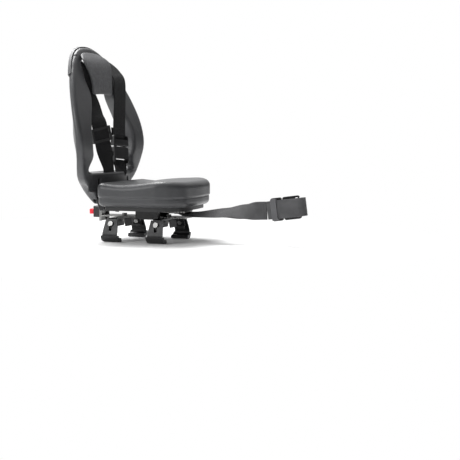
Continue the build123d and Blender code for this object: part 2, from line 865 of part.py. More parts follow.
def back_envelope(grow, front_shift):
    """Solid inside the outline, behind the front face and in front of the curved rear face."""
    with BuildPart() as rear_limit:
        with BuildSketch(Plane.XZ.move(Location((back_curve_x, 0, 0)))):
            with BuildLine():
                Spline(*rear_points(grow))
                Polyline(
                    rear_points(grow)[-1],
                    (0, tail_z),
                    (0, top_z + grow),
                    rear_points(grow)[0],
                )
            make_face()
        revolve(axis=Axis((back_curve_x, 0, 0), (0, 0, 1)))
    with BuildPart() as envelope:
        with BuildSketch(Plane.YZ.offset(2 * top_rear_x)):
            make_face(outer_outline(grow))
        extrude(amount=-2 * top_rear_x)
        with BuildSketch(side_view):
            with BuildLine():
                Spline(*front_points(front_shift))
                Polyline(
                    (tail_front_x + front_shift, tail_z),
                    (2 * top_rear_x, tail_z),
                    (2 * top_rear_x, top_z + foam_round),
                    (top_front_x + front_shift, top_z + foam_round),
                    (top_front_x + front_shift, top_z),
                )
            make_face()
        extrude(amount=full_span, mode=Mode.INTERSECT)
        add(rear_limit.part, mode=Mode.INTERSECT)
    return envelope


# Headboard: a stiff tongue that hangs from the top of the opening and stands forward of the foam
with BuildPart() as headboard:
    chin = (headboard_chin_half, headboard_chin_z)
    brow = (headboard_brow_half, headboard_brow_z)
    with BuildSketch(Plane.YZ.offset(2 * top_rear_x)) as board:
        with BuildLine():
            ThreePointArc((-chin[0], chin[1]), (0, headboard_arch_z), chin)
            Line(chin, brow)
            ThreePointArc(brow, (0, headboard_top_z), (-brow[0], brow[1]))
            Line((-brow[0], brow[1]), (-chin[0], chin[1]))
        make_face()
        fillet(board.vertices(), radius=headboard_corner)
    extrude(amount=-2 * top_rear_x)
    face_points = [
        (headboard_top_x - headboard_sheet, headboard_top_z + headboard_sheet),
        (headboard_brow_x, headboard_brow_z),
        (headboard_mid_x, headboard_mid_z),
        (headboard_chin_x, headboard_chin_z - headboard_sheet),
    ]
    with BuildSketch(side_view):
        with BuildLine():
            face_line = Spline(*face_points)
            back_line = Spline(*[(x - headboard_sheet, z) for x, z in face_points])
            Line(face_line @ 0, back_line @ 0)
            Line(face_line @ 1, back_line @ 1)
        make_face()
    extrude(amount=full_span, mode=Mode.INTERSECT)
headboard.part.label = "headboard"
export_step(headboard.part, "parts/headboard.step")


def web_station(side_name, station):
    """Level plane across a shoulder web, at a place and with a turn about the upright."""
    x, out, z, turn = station
    side = sides[side_name]
    across = (cos(radians(turn)), -side * sin(radians(turn)), 0)
    return Plane(origin=(x, side * out, z), x_dir=across, z_dir=(0, 0, -1))


def web_section(side_name, z):
    """Plane square across a web's flat stretch at a height: first axis across the web."""
    side = sides[side_name]
    top, low = [Vector(x, side * out, up) for x, out, up in web_flats[side_name]]
    share = (top.Z - z) / (top.Z - low.Z)
    turn = radians(web_turns[side_name])
    across = (cos(turn), -side * sin(turn), 0)
    return Plane(origin=top + (low - top) * share, x_dir=across, z_dir=low - top)


def web_face(side_name, z):
    """Plane of a web's flat stretch at a height: second axis up the web, normal to the front."""
    section = web_section(side_name, z)
    toward = -sides[side_name]
    return Plane(origin=section.origin, x_dir=section.x_dir * toward, z_dir=section.y_dir * toward)


def flat_ends(side_name):
    """Planes across the upper and the lower end of a web's flat stretch."""
    return [web_section(side_name, up) for x, out, up in web_flats[side_name]]


def upper_web(side_name):
    """Shoulder web from its root in the foam down to its flat stretch."""
    with BuildPart() as web:
        for station in web_stations[side_name]:
            with BuildSketch(web_station(side_name, station)):
                Rectangle(web_width, web_sheet)
        with BuildSketch(flat_ends(side_name)[0]):
            Rectangle(web_width, web_sheet)
        loft()
    return web


def lower_web(side_name):
    """Web from the low end of its flat stretch in to its end inside the foam."""
    low_end = web_station(side_name, web_ends[side_name])
    with BuildPart() as web:
        with BuildSketch(flat_ends(side_name)[1]):
            Rectangle(web_width, web_sheet)
        with BuildSketch(low_end):
            Rectangle(web_width, web_sheet)
        loft()
        with BuildSketch(low_end):
            Rectangle(web_width, web_sheet)
        extrude(amount=low_end.origin.Z - web_low_z)
    return web


# Right shoulder strap: one web from the foam's top to its lumbar part
flat_top, flat_low = flat_ends("right")
with BuildPart() as right_shoulder_strap:
    add(upper_web("right").part)
    with BuildSketch(flat_top):
        Rectangle(web_width, web_sheet)
    extrude(amount=(flat_top.origin - flat_low.origin).length)
    add(lower_web("right").part)
right_shoulder_strap.part.label = "right_shoulder_strap"
export_step(right_shoulder_strap.part, "parts/right_shoulder_strap.step")

# Tri-glide on the right strap: its end bars lie on the web and its middle bar goes behind
with BuildPart() as strap_glide:
    glide_face = web_face("right", glide_z)
    bar_place = (glide_height - glide_bar) / 2
    rim_place = web_width / 2 + slide_gap + glide_rim / 2
    bar_width = web_width + 2 * slide_gap + 2 * glide_rim
    with BuildSketch(glide_face.offset(-web_sheet / 2 - glide_sheet)):
        with Locations((rim_place, 0), (-rim_place, 0)):
            RectangleRounded(glide_rim, glide_height, glide_rim / 3)
    extrude(amount=web_sheet + 2 * glide_sheet)
    with BuildSketch(glide_face.offset(web_sheet / 2)):
        with Locations((0, bar_place), (0, -bar_place)):
            RectangleRounded(bar_width, glide_bar, glide_rim / 3)
    extrude(amount=glide_sheet)
    with BuildSketch(glide_face.offset(-web_sheet / 2)):
        RectangleRounded(bar_width, glide_bar, glide_rim / 3)
    extrude(amount=-glide_sheet)
strap_glide.part.label = "strap_glide"
export_step(strap_glide.part, "parts/strap_glide.step")


def buckle_socket(face):
    """Box half of a side-release buckle, with a web bar at its foot and a window in each side."""
    bar_up = socket_low + buckle_bar / 2
    hollow_half = prong_inner + prong_width + slide_gap
    hollow_sheet = prong_sheet + 2 * slide_gap
    with BuildPart() as socket:
        with BuildSketch(face.offset(-buckle_sheet / 2)):
            with Locations((0, (socket_low + socket_high) / 2)):
                RectangleRounded(buckle_width, socket_high - socket_low, buckle_corner)
        extrude(amount=buckle_sheet)
        fillet(socket.faces().sort_by(Axis(face.origin, face.z_dir))[-1].edges(), radius=buckle_bar / 2)
        with BuildSketch(face.offset(-buckle_sheet / 2)):
            with Locations((0, socket_low)):
                Rectangle(web_width + 2 * foam_gap, buckle_bar + buckle_slot, align=(Align.CENTER, Align.MIN))
        extrude(amount=buckle_sheet, mode=Mode.SUBTRACT)
        with BuildSketch(face.offset(-hollow_sheet / 2)):
            with Locations((0, socket_hollow_low)):
                Rectangle(2 * hollow_half, socket_high - socket_hollow_low, align=(Align.CENTER, Align.MIN))
            with Locations((0, window_low)):
                Rectangle(buckle_width, window_high - window_low, align=(Align.CENTER, Align.MIN))
        extrude(amount=hollow_sheet, mode=Mode.SUBTRACT)
        with BuildSketch(Plane(origin=face.from_local_coords((0, bar_up, web_bar_depth)), x_dir=face.y_dir,
                               z_dir=face.x_dir)):
            Circle(buckle_bar / 2)
        extrude(amount=buckle_width / 2 - buckle_bar / 2, both=True)
    return socket


def buckle_plug(face):
    """Pronged half of a side-release buckle, with a web bar at its top."""
    bar_up = plug_high - buckle_bar / 2
    slot_up = plug_high - buckle_bar - buckle_slot
    with BuildPart() as plug:
        with BuildSketch(face.offset(-buckle_sheet / 2)):
            with Locations((0, (plug_low + plug_high) / 2)):
                RectangleRounded(buckle_width, plug_high - plug_low, buckle_corner)
        extrude(amount=buckle_sheet)
        fillet(plug.faces().sort_by(Axis(face.origin, face.z_dir))[-1].edges(), radius=buckle_bar / 2)
        with BuildSketch(face.offset(-buckle_sheet / 2)):
            with Locations((0, slot_up)):
                Rectangle(web_width + 2 * foam_gap, buckle_bar + buckle_slot, align=(Align.CENTER, Align.MIN))
        extrude(amount=buckle_sheet, mode=Mode.SUBTRACT)
        with BuildSketch(Plane(origin=face.from_local_coords((0, bar_up, web_bar_depth)), x_dir=face.y_dir,
                               z_dir=face.x_dir)):
            Circle(buckle_bar / 2)
        extrude(amount=buckle_width / 2 - buckle_bar / 2, both=True)
        with BuildSketch(face.offset(-prong_sheet / 2)):
            for hand in sides.values():
                with BuildLine():
                    Polyline(
                        (hand * prong_inner, plug_low + prong_width),
                        (hand * (prong_inner + prong_width), plug_low + prong_width),
                        (hand * (prong_inner + prong_width), window_high),
                        (hand * (prong_inner + prong_width + prong_head), window_high),
                        (hand * (prong_inner + prong_width), prong_low),
                        (hand * prong_inner, prong_low),
                        close=True,
                    )
                make_face()
        extrude(amount=prong_sheet)
    return plug


# Buckle in the left strap
buckle_face = web_face("left", buckle_z)
harness_socket = buckle_socket(buckle_face)
harness_socket.part.label = "harness_socket"
export_step(harness_socket.part, "parts/harness_socket.step")

harness_plug = buckle_plug(buckle_face)
harness_plug.part.label = "harness_plug"
export_step(harness_plug.part, "parts/harness_plug.step")

# Left shoulder strap, doubled back round the plug's bar
web_side = Plane(origin=buckle_face.origin, x_dir=buckle_face.y_dir,
                 z_dir=buckle_face.y_dir.cross(buckle_face.z_dir))
with BuildPart() as left_shoulder_strap:
    add(upper_web("left").part)
    plug_bar_up = plug_high - buckle_bar / 2
    flat_top_up = web_side.to_local_coords(flat_ends("left")[0].origin).X
    with BuildSketch(web_side):
        with BuildLine():
            Line((flat_top_up, 0), (plug_bar_up, 0))
            CenterArc((plug_bar_up, web_bar_depth), -web_bar_depth, 90, 180)
            Line((plug_bar_up, 2 * web_bar_depth), (plug_bar_up + tail_length, 2 * web_bar_depth))
        trace(line_width=web_sheet)
    extrude(amount=web_width / 2, both=True)
left_shoulder_strap.part.label = "left_shoulder_strap"
export_step(left_shoulder_strap.part, "parts/left_shoulder_strap.step")

# Left lower strap, doubled back round the socket's bar
with BuildPart() as left_lower_strap:
    add(lower_web("left").part)
    socket_bar_up = socket_low + buckle_bar / 2
    flat_low_up = web_side.to_local_coords(flat_ends("left")[1].origin).X
    with BuildSketch(web_side):
        with BuildLine():
            Line((flat_low_up, 0), (socket_bar_up, 0))
            CenterArc((socket_bar_up, web_bar_depth), -web_bar_depth, 90, -180)
            Line((socket_bar_up, 2 * web_bar_depth), (flat_low_up, 2 * web_bar_depth))
        trace(line_width=web_sheet)
    extrude(amount=web_width / 2, both=True)
left_lower_strap.part.label = "left_lower_strap"
export_step(left_lower_strap.part, "parts/left_lower_strap.step")

# Lumbar bulge, moulded in one with the backrest foam below its opening
with BuildPart() as lumbar:
    with BuildSketch(Plane.XY.offset(lumbar_low_z)):
        with BuildLine():
            swell = ThreePointArc((waist_front_x - lumbar_round, -lumbar_half), (lumbar_front_x, 0),
                                  (waist_front_x - lumbar_round, lumbar_half))
            Line(swell @ 1, swell @ 0)
        make_face()
    extrude(amount=hole_low_z - lumbar_low_z)
    fillet(lumbar.edges().filter_by(GeomType.CIRCLE), radius=lumbar_round)

# Backrest foam: the envelope with its rims rounded, then the opening and the seats of other pieces
with BuildPart() as foam_blank:
    add(back_envelope(0, 0).part)
    fillet(foam_blank.edges().filter_by(GeomType.BSPLINE), radius=foam_round)

with BuildPart() as backrest_foam:
    add(foam_blank.part)
    with BuildSketch(Plane.YZ.offset(2 * top_rear_x)):
        make_face(hole_outline(0))
    extrude(amount=-2 * top_rear_x, mode=Mode.SUBTRACT)
    fillet(backrest_foam.edges(Select.NEW).filter_by(Axis.X, reverse=True), radius=foam_round)
    add(lumbar.part)
    for side in sides.values():
        with BuildSketch(Plane.XZ.offset(-side * notch_inner)):
            with BuildLine():
                Polyline(
                    (pivot_x - notch_radius, pivot_z),
                    (pivot_x - notch_radius, pivot_z + notch_radius),
                    (pivot_x, pivot_z + notch_radius),
                    (0, pivot_z + notch_radius + pivot_x * tan(radians(notch_fall))),
                    (0, tail_z),
                    (pivot_x - notch_radius + leaf_sweep / leaf_drop * (pivot_z - tail_z), tail_z),
                    close=True,
                )
            make_face()
        extrude(amount=-side * (leaf_outer - notch_inner), mode=Mode.SUBTRACT)
    add(headboard.part, mode=Mode.SUBTRACT)
    add(leaf_screws.part, mode=Mode.SUBTRACT)
    for strap in (right_shoulder_strap, left_shoulder_strap, left_lower_strap):
        add(strap.part, mode=Mode.SUBTRACT)
backrest_foam.part.label = "backrest_foam"
export_step(backrest_foam.part, "parts/backrest_foam.step")

# Rear cover: a thin cap over the upper back and sides of the foam
with BuildPart() as rear_cover:
    add(back_envelope(cover_sheet, -cover_setback).part)
    with BuildSketch(Plane.YZ.offset(2 * top_rear_x)):
        make_face(hole_outline(foam_round + cover_sheet))
    extrude(amount=-2 * top_rear_x, mode=Mode.SUBTRACT)
    cover_edge = Plane(origin=(cover_edge_x, 0, cover_edge_z),
                       x_dir=(cos(radians(cover_slope)), 0, sin(radians(cover_slope))), z_dir=(0, -1, 0))
    with BuildSketch(cover_edge):
        Rectangle(full_span, full_span, align=(Align.CENTER, Align.MIN))
    extrude(amount=full_span, both=True, mode=Mode.INTERSECT)
    add(foam_blank.part, mode=Mode.SUBTRACT)
rear_cover.part.label = "rear_cover"
export_step(rear_cover.part, "parts/rear_cover.step")

# Safety strap: riveted under the upper rail, twisting a quarter turn on its way to the saddle post
strap_low_z = seat_rail_z - strap_sheet / 2
with BuildPart() as strap_rivets:
    with BuildSketch(Plane.XY.offset(strap_low_z - strap_sheet / 2)):
        with Locations((strap_rivet_x, 0)):
            Circle(strap_rivet_head / 2)
    extrude(amount=-strap_rivet_head_height, taper=head_taper)
    with BuildSketch(Plane.XY.offset(strap_low_z - strap_sheet / 2)):
        with Locations((strap_rivet_x, 0)):
            Circle(strap_rivet / 2)
    extrude(amount=strap_sheet + rail_sheet)
strap_rivets.part.label = "strap_rivet"
export_step(strap_rivets.part, "parts/strap_rivet.step")

with seat_rail:
    add(strap_rivets.part, mode=Mode.SUBTRACT)
seat_rail.part.label = "seat_rail"
export_step(seat_rail.part, "parts/seat_rail.step")

rise = radians(strap_rise)
loop_plane = Plane(origin=(strap_loop_x, 0, strap_loop_z), x_dir=(cos(rise), 0, sin(rise)),
                   z_dir=(-sin(rise), 0, cos(rise)))
with BuildPart() as strap_loop:
    with BuildSketch(loop_plane.offset(-strap_width / 2)) as loop_ring:
        with Locations((post_x - strap_loop_x, 0)):
            Circle(post_diameter / 2)
        with Locations((strap_loop_root, 0)):
            Circle(strap_loop_tip)
        make_hull()
        hollow = loop_ring.sketch_local
        offset(amount=strap_sheet)
        add(hollow, mode=Mode.SUBTRACT)
    extrude(amount=strap_width)
strap_loop.part.label = "strap_loop"
export_step(strap_loop.part, "parts/strap_loop.step")


def strap_section(x, z, turn):
    """Plane across the safety strap, with the web turned up from lying flat."""
    return Plane(origin=(x, 0, z), x_dir=(0, cos(radians(turn)), sin(radians(turn))), z_dir=(1, 0, 0))


with BuildPart() as safety_strap:
    with BuildSketch(strap_section(strap_start_x, strap_low_z, 0)):
        Rectangle(strap_width, strap_sheet)
    extrude(amount=strap_leave_x - strap_start_x)
    with BuildSketch(strap_section(strap_leave_x, strap_low_z, 0)):
        Rectangle(strap_width, strap_sheet)
    for x, z, turn in strap_stations:
        with BuildSketch(strap_section(x, z, turn)):
            Rectangle(strap_width, strap_sheet)
    loop_root = loop_plane.from_local_coords((strap_loop_root - strap_loop_tip - strap_sheet / 2, 0, 0))
    with BuildSketch(Plane(origin=loop_root, x_dir=loop_plane.z_dir, z_dir=loop_plane.x_dir)):
        Rectangle(strap_width, strap_sheet)
    loft()
    add(strap_rivets.part, mode=Mode.SUBTRACT)
    add(strap_loop.part, mode=Mode.SUBTRACT)
safety_strap.part.label = "safety_strap"
export_step(safety_strap.part, "parts/safety_strap.step")


def band_plane(side, along, out):
    """Plane on one band of the loop: first axis along the band, normal pointing out of the loop."""
    spread = asin((post_diameter / 2 - strap_loop_tip) / (post_x - strap_loop_x - strap_loop_root))
    out_of_middle = strap_loop_tip + strap_sheet / 2 + out
    place = (strap_loop_root + along * cos(spread) - out_of_middle * sin(spread),
             side * (along * sin(spread) + out_of_middle * cos(spread)), 0)
    x_dir = loop_plane.x_dir * cos(spread) + loop_plane.y_dir * (side * sin(spread))
    z_dir = loop_plane.y_dir * (side * cos(spread)) - loop_plane.x_dir * sin(spread)
    return Plane(origin=loop_plane.from_local_coords(place), x_dir=x_dir, z_dir=z_dir)


# Slider on the loop's right band
with BuildPart() as strap_slider:
    slider_plane = band_plane(sides["right"], slider_along, 0)
    slider_depth = strap_sheet + 2 * slider_bar
    slider_height = strap_width + 2 * slide_gap + 2 * slider_rim
    with BuildSketch(slider_plane.offset(-slider_depth / 2)):
        RectangleRounded(slider_length, slider_height, slider_rim / 2)
    extrude(amount=slider_depth)
    with BuildSketch(slider_plane.offset(-strap_sheet / 2)):
        Rectangle(slider_length, strap_width + 2 * slide_gap)
    extrude(amount=strap_sheet, mode=Mode.SUBTRACT)
strap_slider.part.label = "strap_slider"
export_step(strap_slider.part, "parts/strap_slider.step")

# Buckle on the loop's left band, lying on the web
left_band = band_plane(sides["left"], strap_buckle_along, strap_sheet / 2 + buckle_sheet / 2)
strap_buckle_face = Plane(origin=left_band.origin, x_dir=left_band.y_dir, z_dir=left_band.z_dir)
strap_socket = buckle_socket(strap_buckle_face)
strap_socket.part.label = "strap_socket"
export_step(strap_socket.part, "parts/strap_socket.step")

strap_plug = buckle_plug(strap_buckle_face)
strap_plug.part.label = "strap_plug"
export_step(strap_plug.part, "parts/strap_plug.step")
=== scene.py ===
"""Looks of the child bike seat: foam skins, webbing, stitching, materials, light and camera.

Everything is in metres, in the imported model's frame: +X to the front of the bicycle, +Y to its left.
"""
import json
import math

import bmesh
import bpy
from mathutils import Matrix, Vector, noise

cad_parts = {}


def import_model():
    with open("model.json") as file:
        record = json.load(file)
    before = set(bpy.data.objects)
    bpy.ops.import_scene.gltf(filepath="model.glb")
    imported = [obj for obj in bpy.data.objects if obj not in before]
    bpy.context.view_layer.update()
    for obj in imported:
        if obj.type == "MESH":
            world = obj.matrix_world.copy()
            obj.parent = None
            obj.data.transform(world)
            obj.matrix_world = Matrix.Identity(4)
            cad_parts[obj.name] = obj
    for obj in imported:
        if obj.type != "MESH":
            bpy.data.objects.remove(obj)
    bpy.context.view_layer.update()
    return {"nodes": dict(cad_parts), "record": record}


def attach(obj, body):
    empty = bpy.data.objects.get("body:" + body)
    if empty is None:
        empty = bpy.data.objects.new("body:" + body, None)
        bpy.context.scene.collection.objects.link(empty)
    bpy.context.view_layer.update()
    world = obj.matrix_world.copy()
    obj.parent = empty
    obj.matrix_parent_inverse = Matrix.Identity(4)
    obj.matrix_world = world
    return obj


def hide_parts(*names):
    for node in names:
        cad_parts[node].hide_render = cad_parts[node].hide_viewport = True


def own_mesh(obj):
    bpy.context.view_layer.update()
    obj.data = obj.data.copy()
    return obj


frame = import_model()
MM = 0.001

# Camera of the photograph
CAMERA_PLACE = (1.079, -2.224, 0.252)
CAMERA_YAW = math.radians(21.89)
CAMERA_PITCH = math.radians(5.36)
CAMERA_LENS = 93.9
CAMERA_SENSOR = 36.0
CAMERA_CLIP = (0.05, 60.0)

# Cushion, in millimetres: the part's outline, with its top a little lower at the rear, where the
# harness comes near it at full fold
CUSHION_REAR = -64.0
CUSHION_FRONT = 122.0
CUSHION_HALF = 102.0
CUSHION_BOW = 9.0
CUSHION_LOW = 74.0
CUSHION_CORNERS = (14.0, 56.0, 260.0, 56.0, 14.0)
CUSHION_STEP = 3.0
CUSHION_TOP = ((-84.0, 124.4), (-15.0, 119.0), (58.0, 128.0), (122.0, 123.0), (142.0, 118.0))
CUSHION_TOP_ROUND = 12.0
CUSHION_LOW_ROUND = 10.0
CREASE_Z = 92.5
CREASE_HALF = 2.6
CREASE_DEPTH = 0.9
CREASE_REACH = 5.0
LOWER_INSET = 1.6
EDGE_DROP = 4.5
EDGE_DROP_X = 35.0
EDGE_DROP_REACH = 38.0
RIPPLE_LENGTH = 45.0
RIPPLE = 0.35

# Harness webs: x, distance from the middle, height, turn about the upright. The left one is as in the
# part's source; the right one goes through the photograph's slit beside the headboard
WEB_WIDTH = 38.0
WEB_SHEET = 1.9
WEB_STATIONS = {
    "right": [
        (-134.0, 46.0, 371.0, 98.0),
        (-119.5, 45.0, 351.0, 82.0),
        (-113.5, 47.5, 322.0, 75.0),
        (-109.0, 46.0, 303.0, 71.0),
        (-99.5, 43.0, 277.0, 67.0),
        (-91.0, 47.5, 258.0, 65.0),
    ],
    "left": [
        (-134.0, 46.0, 371.0, 98.0),
        (-120.0, 60.0, 361.0, 100.0),
        (-106.0, 70.0, 346.0, 101.0),
        (-96.0, 69.0, 331.0, 101.0),
        (-91.0, 62.0, 300.0, 101.0),
    ],
}
WEB_FLATS = {
    "right": [(-82.0, 49.5, 240.0), (-76.5, 42.0, 195.0)],
    "left": [(-86.0, 48.0, 232.0), (-79.0, 38.0, 150.0)],
}
WEB_TURNS = {"right": 64.0, "left": 103.0}
WEB_ENDS = {"right": (-75.6, 22.0, 150.0, 84.0), "left": (-74.4, 26.0, 134.0, 90.0)}
WEB_LOW = 112.0
BUCKLE_Z = 185.0
BUCKLE_BAR_UP = 27.4
BAR_DEPTH = -2.6
BAR_SLACK = 5.2
TAIL_LENGTH = 18.0
LOW_TAIL_LENGTH = 6.0
SEWN_SHARE = 0.6
SEWN_ALONG = 6.0
SEWN_ACROSS = 14.0
SIDES = {"left": 1.0, "right": -1.0}

# Safety strap, as in the part's source: x, height, turn up from lying flat
STRAP_WIDTH = 36.0
STRAP_STATIONS = [
    (58.0, 59.0, 0.0),
    (76.0, 59.0, 0.0),
    (104.0, 56.0, 12.0),
    (171.0, 61.5, 27.0),
    (215.0, 65.0, 50.0),
    (246.0, 67.5, 84.0),
]
LOOP_PLACE = (262.0, 0.0, 68.0)
LOOP_RISE = math.radians(7.5)
LOOP_ROOT = 4.0
LOOP_POST = 72.0
LOOP_RADIUS = 12.0
LOOP_TIP = 1.4
ROOT_SEAMS = (4.0, 9.0)
ROOT_SEAM_HALF = 15.0

# Distance between the samples along a web, in millimetres
SAMPLE = 2.5


# Shader building blocks


class Shader:
    """A node material with a principled shader, built step by step."""

    def __init__(self, name):
        self.material = bpy.data.materials.new(name)
        self.material.use_nodes = True
        self.tree = self.material.node_tree
        self.principled = self.tree.nodes["Principled BSDF"]

    def node(self, kind, **settings):
        """New node; a setting that names an input sets its value or links another node's output."""
        made = self.tree.nodes.new(kind)
        for key, value in settings.items():
            if key in made.inputs:
                self.feed(made.inputs[key], value)
            else:
                setattr(made, key, value)
        return made

    def feed(self, socket, value):
        """Sets a socket, or links it where the value is another node's socket."""
        if isinstance(value, bpy.types.NodeSocket):
            self.tree.links.new(value, socket)
        else:
            socket.default_value = value

    def set(self, **inputs):
        """Feeds the principled shader; names are written with underscores."""
        for key, value in inputs.items():
            self.feed(self.principled.inputs[key.replace("_", " ")], value)

    def place(self):
        """Object coordinates, which are the model's own frame in metres."""
        return self.node("ShaderNodeTexCoord").outputs["Object"]

    def noise(self, vector, scale, detail=2.0, roughness=0.5):
        made = self.node("ShaderNodeTexNoise", Vector=vector, Scale=scale, Detail=detail,
                         Roughness=roughness)
        return made.outputs["Fac"]

    def cells(self, vector, scale, feature="F1"):
        made = self.node("ShaderNodeTexVoronoi", feature=feature, Vector=vector, Scale=scale)
        return made.outputs["Distance"]

    def span(self, value, low, high, from_low=0.0, from_high=1.0):
        """Maps a value from one range to another, clamped."""
        made = self.node("ShaderNodeMapRange")
        for index, number in enumerate((value, from_low, from_high, low, high)):
            self.feed(made.inputs[index], number)
        return made.outputs["Result"]

    def math(self, operation, first, second=0.0):
        made = self.node("ShaderNodeMath", operation=operation)
        self.feed(made.inputs[0], first)
        self.feed(made.inputs[1], second)
        return made.outputs[0]

    def mix(self, share, first, second):
        """Colour between two colours."""
        made = self.node("ShaderNodeMix", data_type="RGBA")
        self.feed(made.inputs["Factor"], share)
        colours = [socket for socket in made.inputs if socket.type == "RGBA"]
        self.feed(colours[0], first)
        self.feed(colours[1], second)
        return [socket for socket in made.outputs if socket.type == "RGBA"][0]

    def bump(self, height, strength, distance, normal=None):
        made = self.node("ShaderNodeBump", Height=height, Strength=strength, Distance=distance)
        if normal is not None:
            self.feed(made.inputs["Normal"], normal)
        return made.outputs["Normal"]

    def edges(self, radius, sharp=0.80):
        """One on sharp outer and inner edges, nought on flat and gently curved faces."""
        rounded = self.node("ShaderNodeBevel", samples=4, Radius=radius).outputs["Normal"]
        plain = self.node("ShaderNodeNewGeometry").outputs["Normal"]
        made = self.node("ShaderNodeVectorMath", operation="DOT_PRODUCT")
        self.feed(made.inputs[0], rounded)
        self.feed(made.inputs[1], plain)
        return self.span(made.outputs["Value"], 0.0, 1.0, 0.985, sharp)


def shade(colour, factor):
    """A colour made darker or lighter, with alpha."""
    return (colour[0] * factor, colour[1] * factor, colour[2] * factor, 1.0)


def foam_material(name, colour):
    """Skin of moulded foam: fine pebble grain, soft sheen and faint handling marks."""
    shader = Shader(name)
    place = shader.place()
    broad = shader.noise(place, 14.0, 4.0, 0.55)
    fine = shader.noise(place, 900.0, 3.0, 0.6)
    tint = shader.mix(shader.span(broad, 0.0, 1.0, 0.3, 0.7), shade(colour, 0.88),
                      shade(colour, 1.14))
    pebble = shader.cells(place, 620.0, "SMOOTH_F1")
    dents = shader.bump(broad, 0.10, 0.004)
    grain = shader.bump(pebble, 0.22, 0.0009, dents)
    shader.set(Base_Color=tint, Roughness=shader.span(fine, 0.32, 0.44, 0.25, 0.75),
               Normal=shader.bump(fine, 0.10, 0.0005, grain), Specular_IOR_Level=0.5,
               Sheen_Weight=0.04, Sheen_Roughness=0.45)
    return shader.material


def plastic_material(name, colour, rough, grain_scale, grain_strength, edge_highlight=3.0):
    """Moulded plastic with a spark-eroded grain and a painted highlight on its sharp edges."""
    shader = Shader(name)
    place = shader.place()
    broad = shader.noise(place, 40.0, 4.0, 0.6)
    grain = shader.noise(place, grain_scale, 2.0, 0.6)
    tint = shader.mix(shader.span(broad, 0.0, 1.0, 0.3, 0.7), shade(colour, 0.85), shade(colour, 1.2))
    # painted highlight: sharp edges lightened to the colour times the last argument's factor
    tint = shader.mix(shader.edges(0.0009), tint, shade(colour, edge_highlight))
    shader.set(Base_Color=tint, Roughness=shader.span(broad, rough - 0.06, rough + 0.08, 0.25, 0.75),
               Normal=shader.bump(grain, grain_strength, 0.0006))
    return shader.material


def headboard_material(name, colour):
    """Stiff board with a fine leather-like emboss."""
    shader = Shader(name)
    place = shader.place()
    broad = shader.noise(place, 18.0, 4.0, 0.55)
    pebble = shader.cells(place, 420.0)
    lines = shader.cells(place, 420.0, "DISTANCE_TO_EDGE")
    tint = shader.mix(shader.span(broad, 0.0, 1.0, 0.3, 0.7), shade(colour, 0.9), shade(colour, 1.12))
    tint = shader.mix(shader.span(lines, 0.35, 0.0, 0.0, 0.12), tint, shade(colour, 0.55))
    mottle = shader.noise(place, 150.0, 3.0, 0.65)
    tint = shader.mix(shader.span(mottle, 0.0, 0.6, 0.45, 0.7), tint, shade(colour, 1.7))
    shader.set(Base_Color=tint, Roughness=shader.span(pebble, 0.62, 0.50, 0.0, 0.7),
               Normal=shader.bump(lines, 0.45, 0.0011))
    return shader.material


def paint_material(name, colour):
    """Black powder coat: fine orange peel, edges lightened to grey in patches, partly rubbed to metal
    and partly a painted highlight.
    """
    shader = Shader(name)
    place = shader.place()
    peel = shader.noise(place, 700.0, 2.0, 0.5)
    broad = shader.noise(place, 60.0, 3.0, 0.6)
    # grey on the edges in patches: partly wear to bare metal, partly a painted highlight on the edges
    worn_and_highlit_edges = shader.math("MULTIPLY", shader.edges(0.0011), shader.span(broad, 0.2, 0.9, 0.35, 0.65))
    tint = shader.mix(shader.span(broad, 0.0, 1.0, 0.3, 0.7), shade(colour, 0.85),
                      shade(colour, 1.25))
    tint = shader.mix(worn_and_highlit_edges, tint, (0.30, 0.30, 0.31, 1.0))
    shader.set(Base_Color=tint, Roughness=shader.span(broad, 0.34, 0.48, 0.25, 0.75),
               Normal=shader.bump(peel, 0.16, 0.0005), Specular_IOR_Level=0.4)
    return shader.material


def zinc_material(name, colour):
    """Zinc-plated steel: cloudy plate, fine drawn scratches, dark grime in places and a painted
    highlight on its sharp edges.
    """
    shader = Shader(name)
    place = shader.place()
    drawn = shader.node("ShaderNodeMapping", Vector=place, Scale=(18.0, 900.0, 900.0))
    scratch = shader.noise(drawn.outputs["Vector"], 1.0, 3.0, 0.6)
    cloud = shader.noise(place, 85.0, 5.0, 0.65)
    tint = shader.mix(shader.span(cloud, 0.0, 1.0, 0.3, 0.7), shade(colour, 0.72),
                      shade(colour, 1.12))
    tint = shader.mix(shader.span(scratch, 0.0, 0.35, 0.5, 0.75), tint, shade(colour, 0.6))
    # painted highlight: sharp edges lightened to 2.2 times the plate's colour
    tint = shader.mix(shader.edges(0.0008), tint, shade(colour, 2.2))
    shader.set(Base_Color=tint, Metallic=1.0, Roughness=shader.span(cloud, 0.26, 0.46, 0.25, 0.75),
               Normal=shader.bump(scratch, 0.10, 0.0003))
    return shader.material


def rubber_material(name, colour):
    """Dull rubber with a fine dusty bloom."""
    shader = Shader(name)
    place = shader.place()
    dust = shader.noise(place, 260.0, 4.0, 0.7)
    tint = shader.mix(shader.span(dust, 0.0, 0.7, 0.4, 0.75), shade(colour, 0.9), shade(colour, 1.7))
    shader.set(Base_Color=tint, Roughness=shader.span(dust, 0.7, 0.9, 0.3, 0.7),
               Normal=shader.bump(dust, 0.2, 0.0006), Specular_IOR_Level=0.3)
    return shader.material


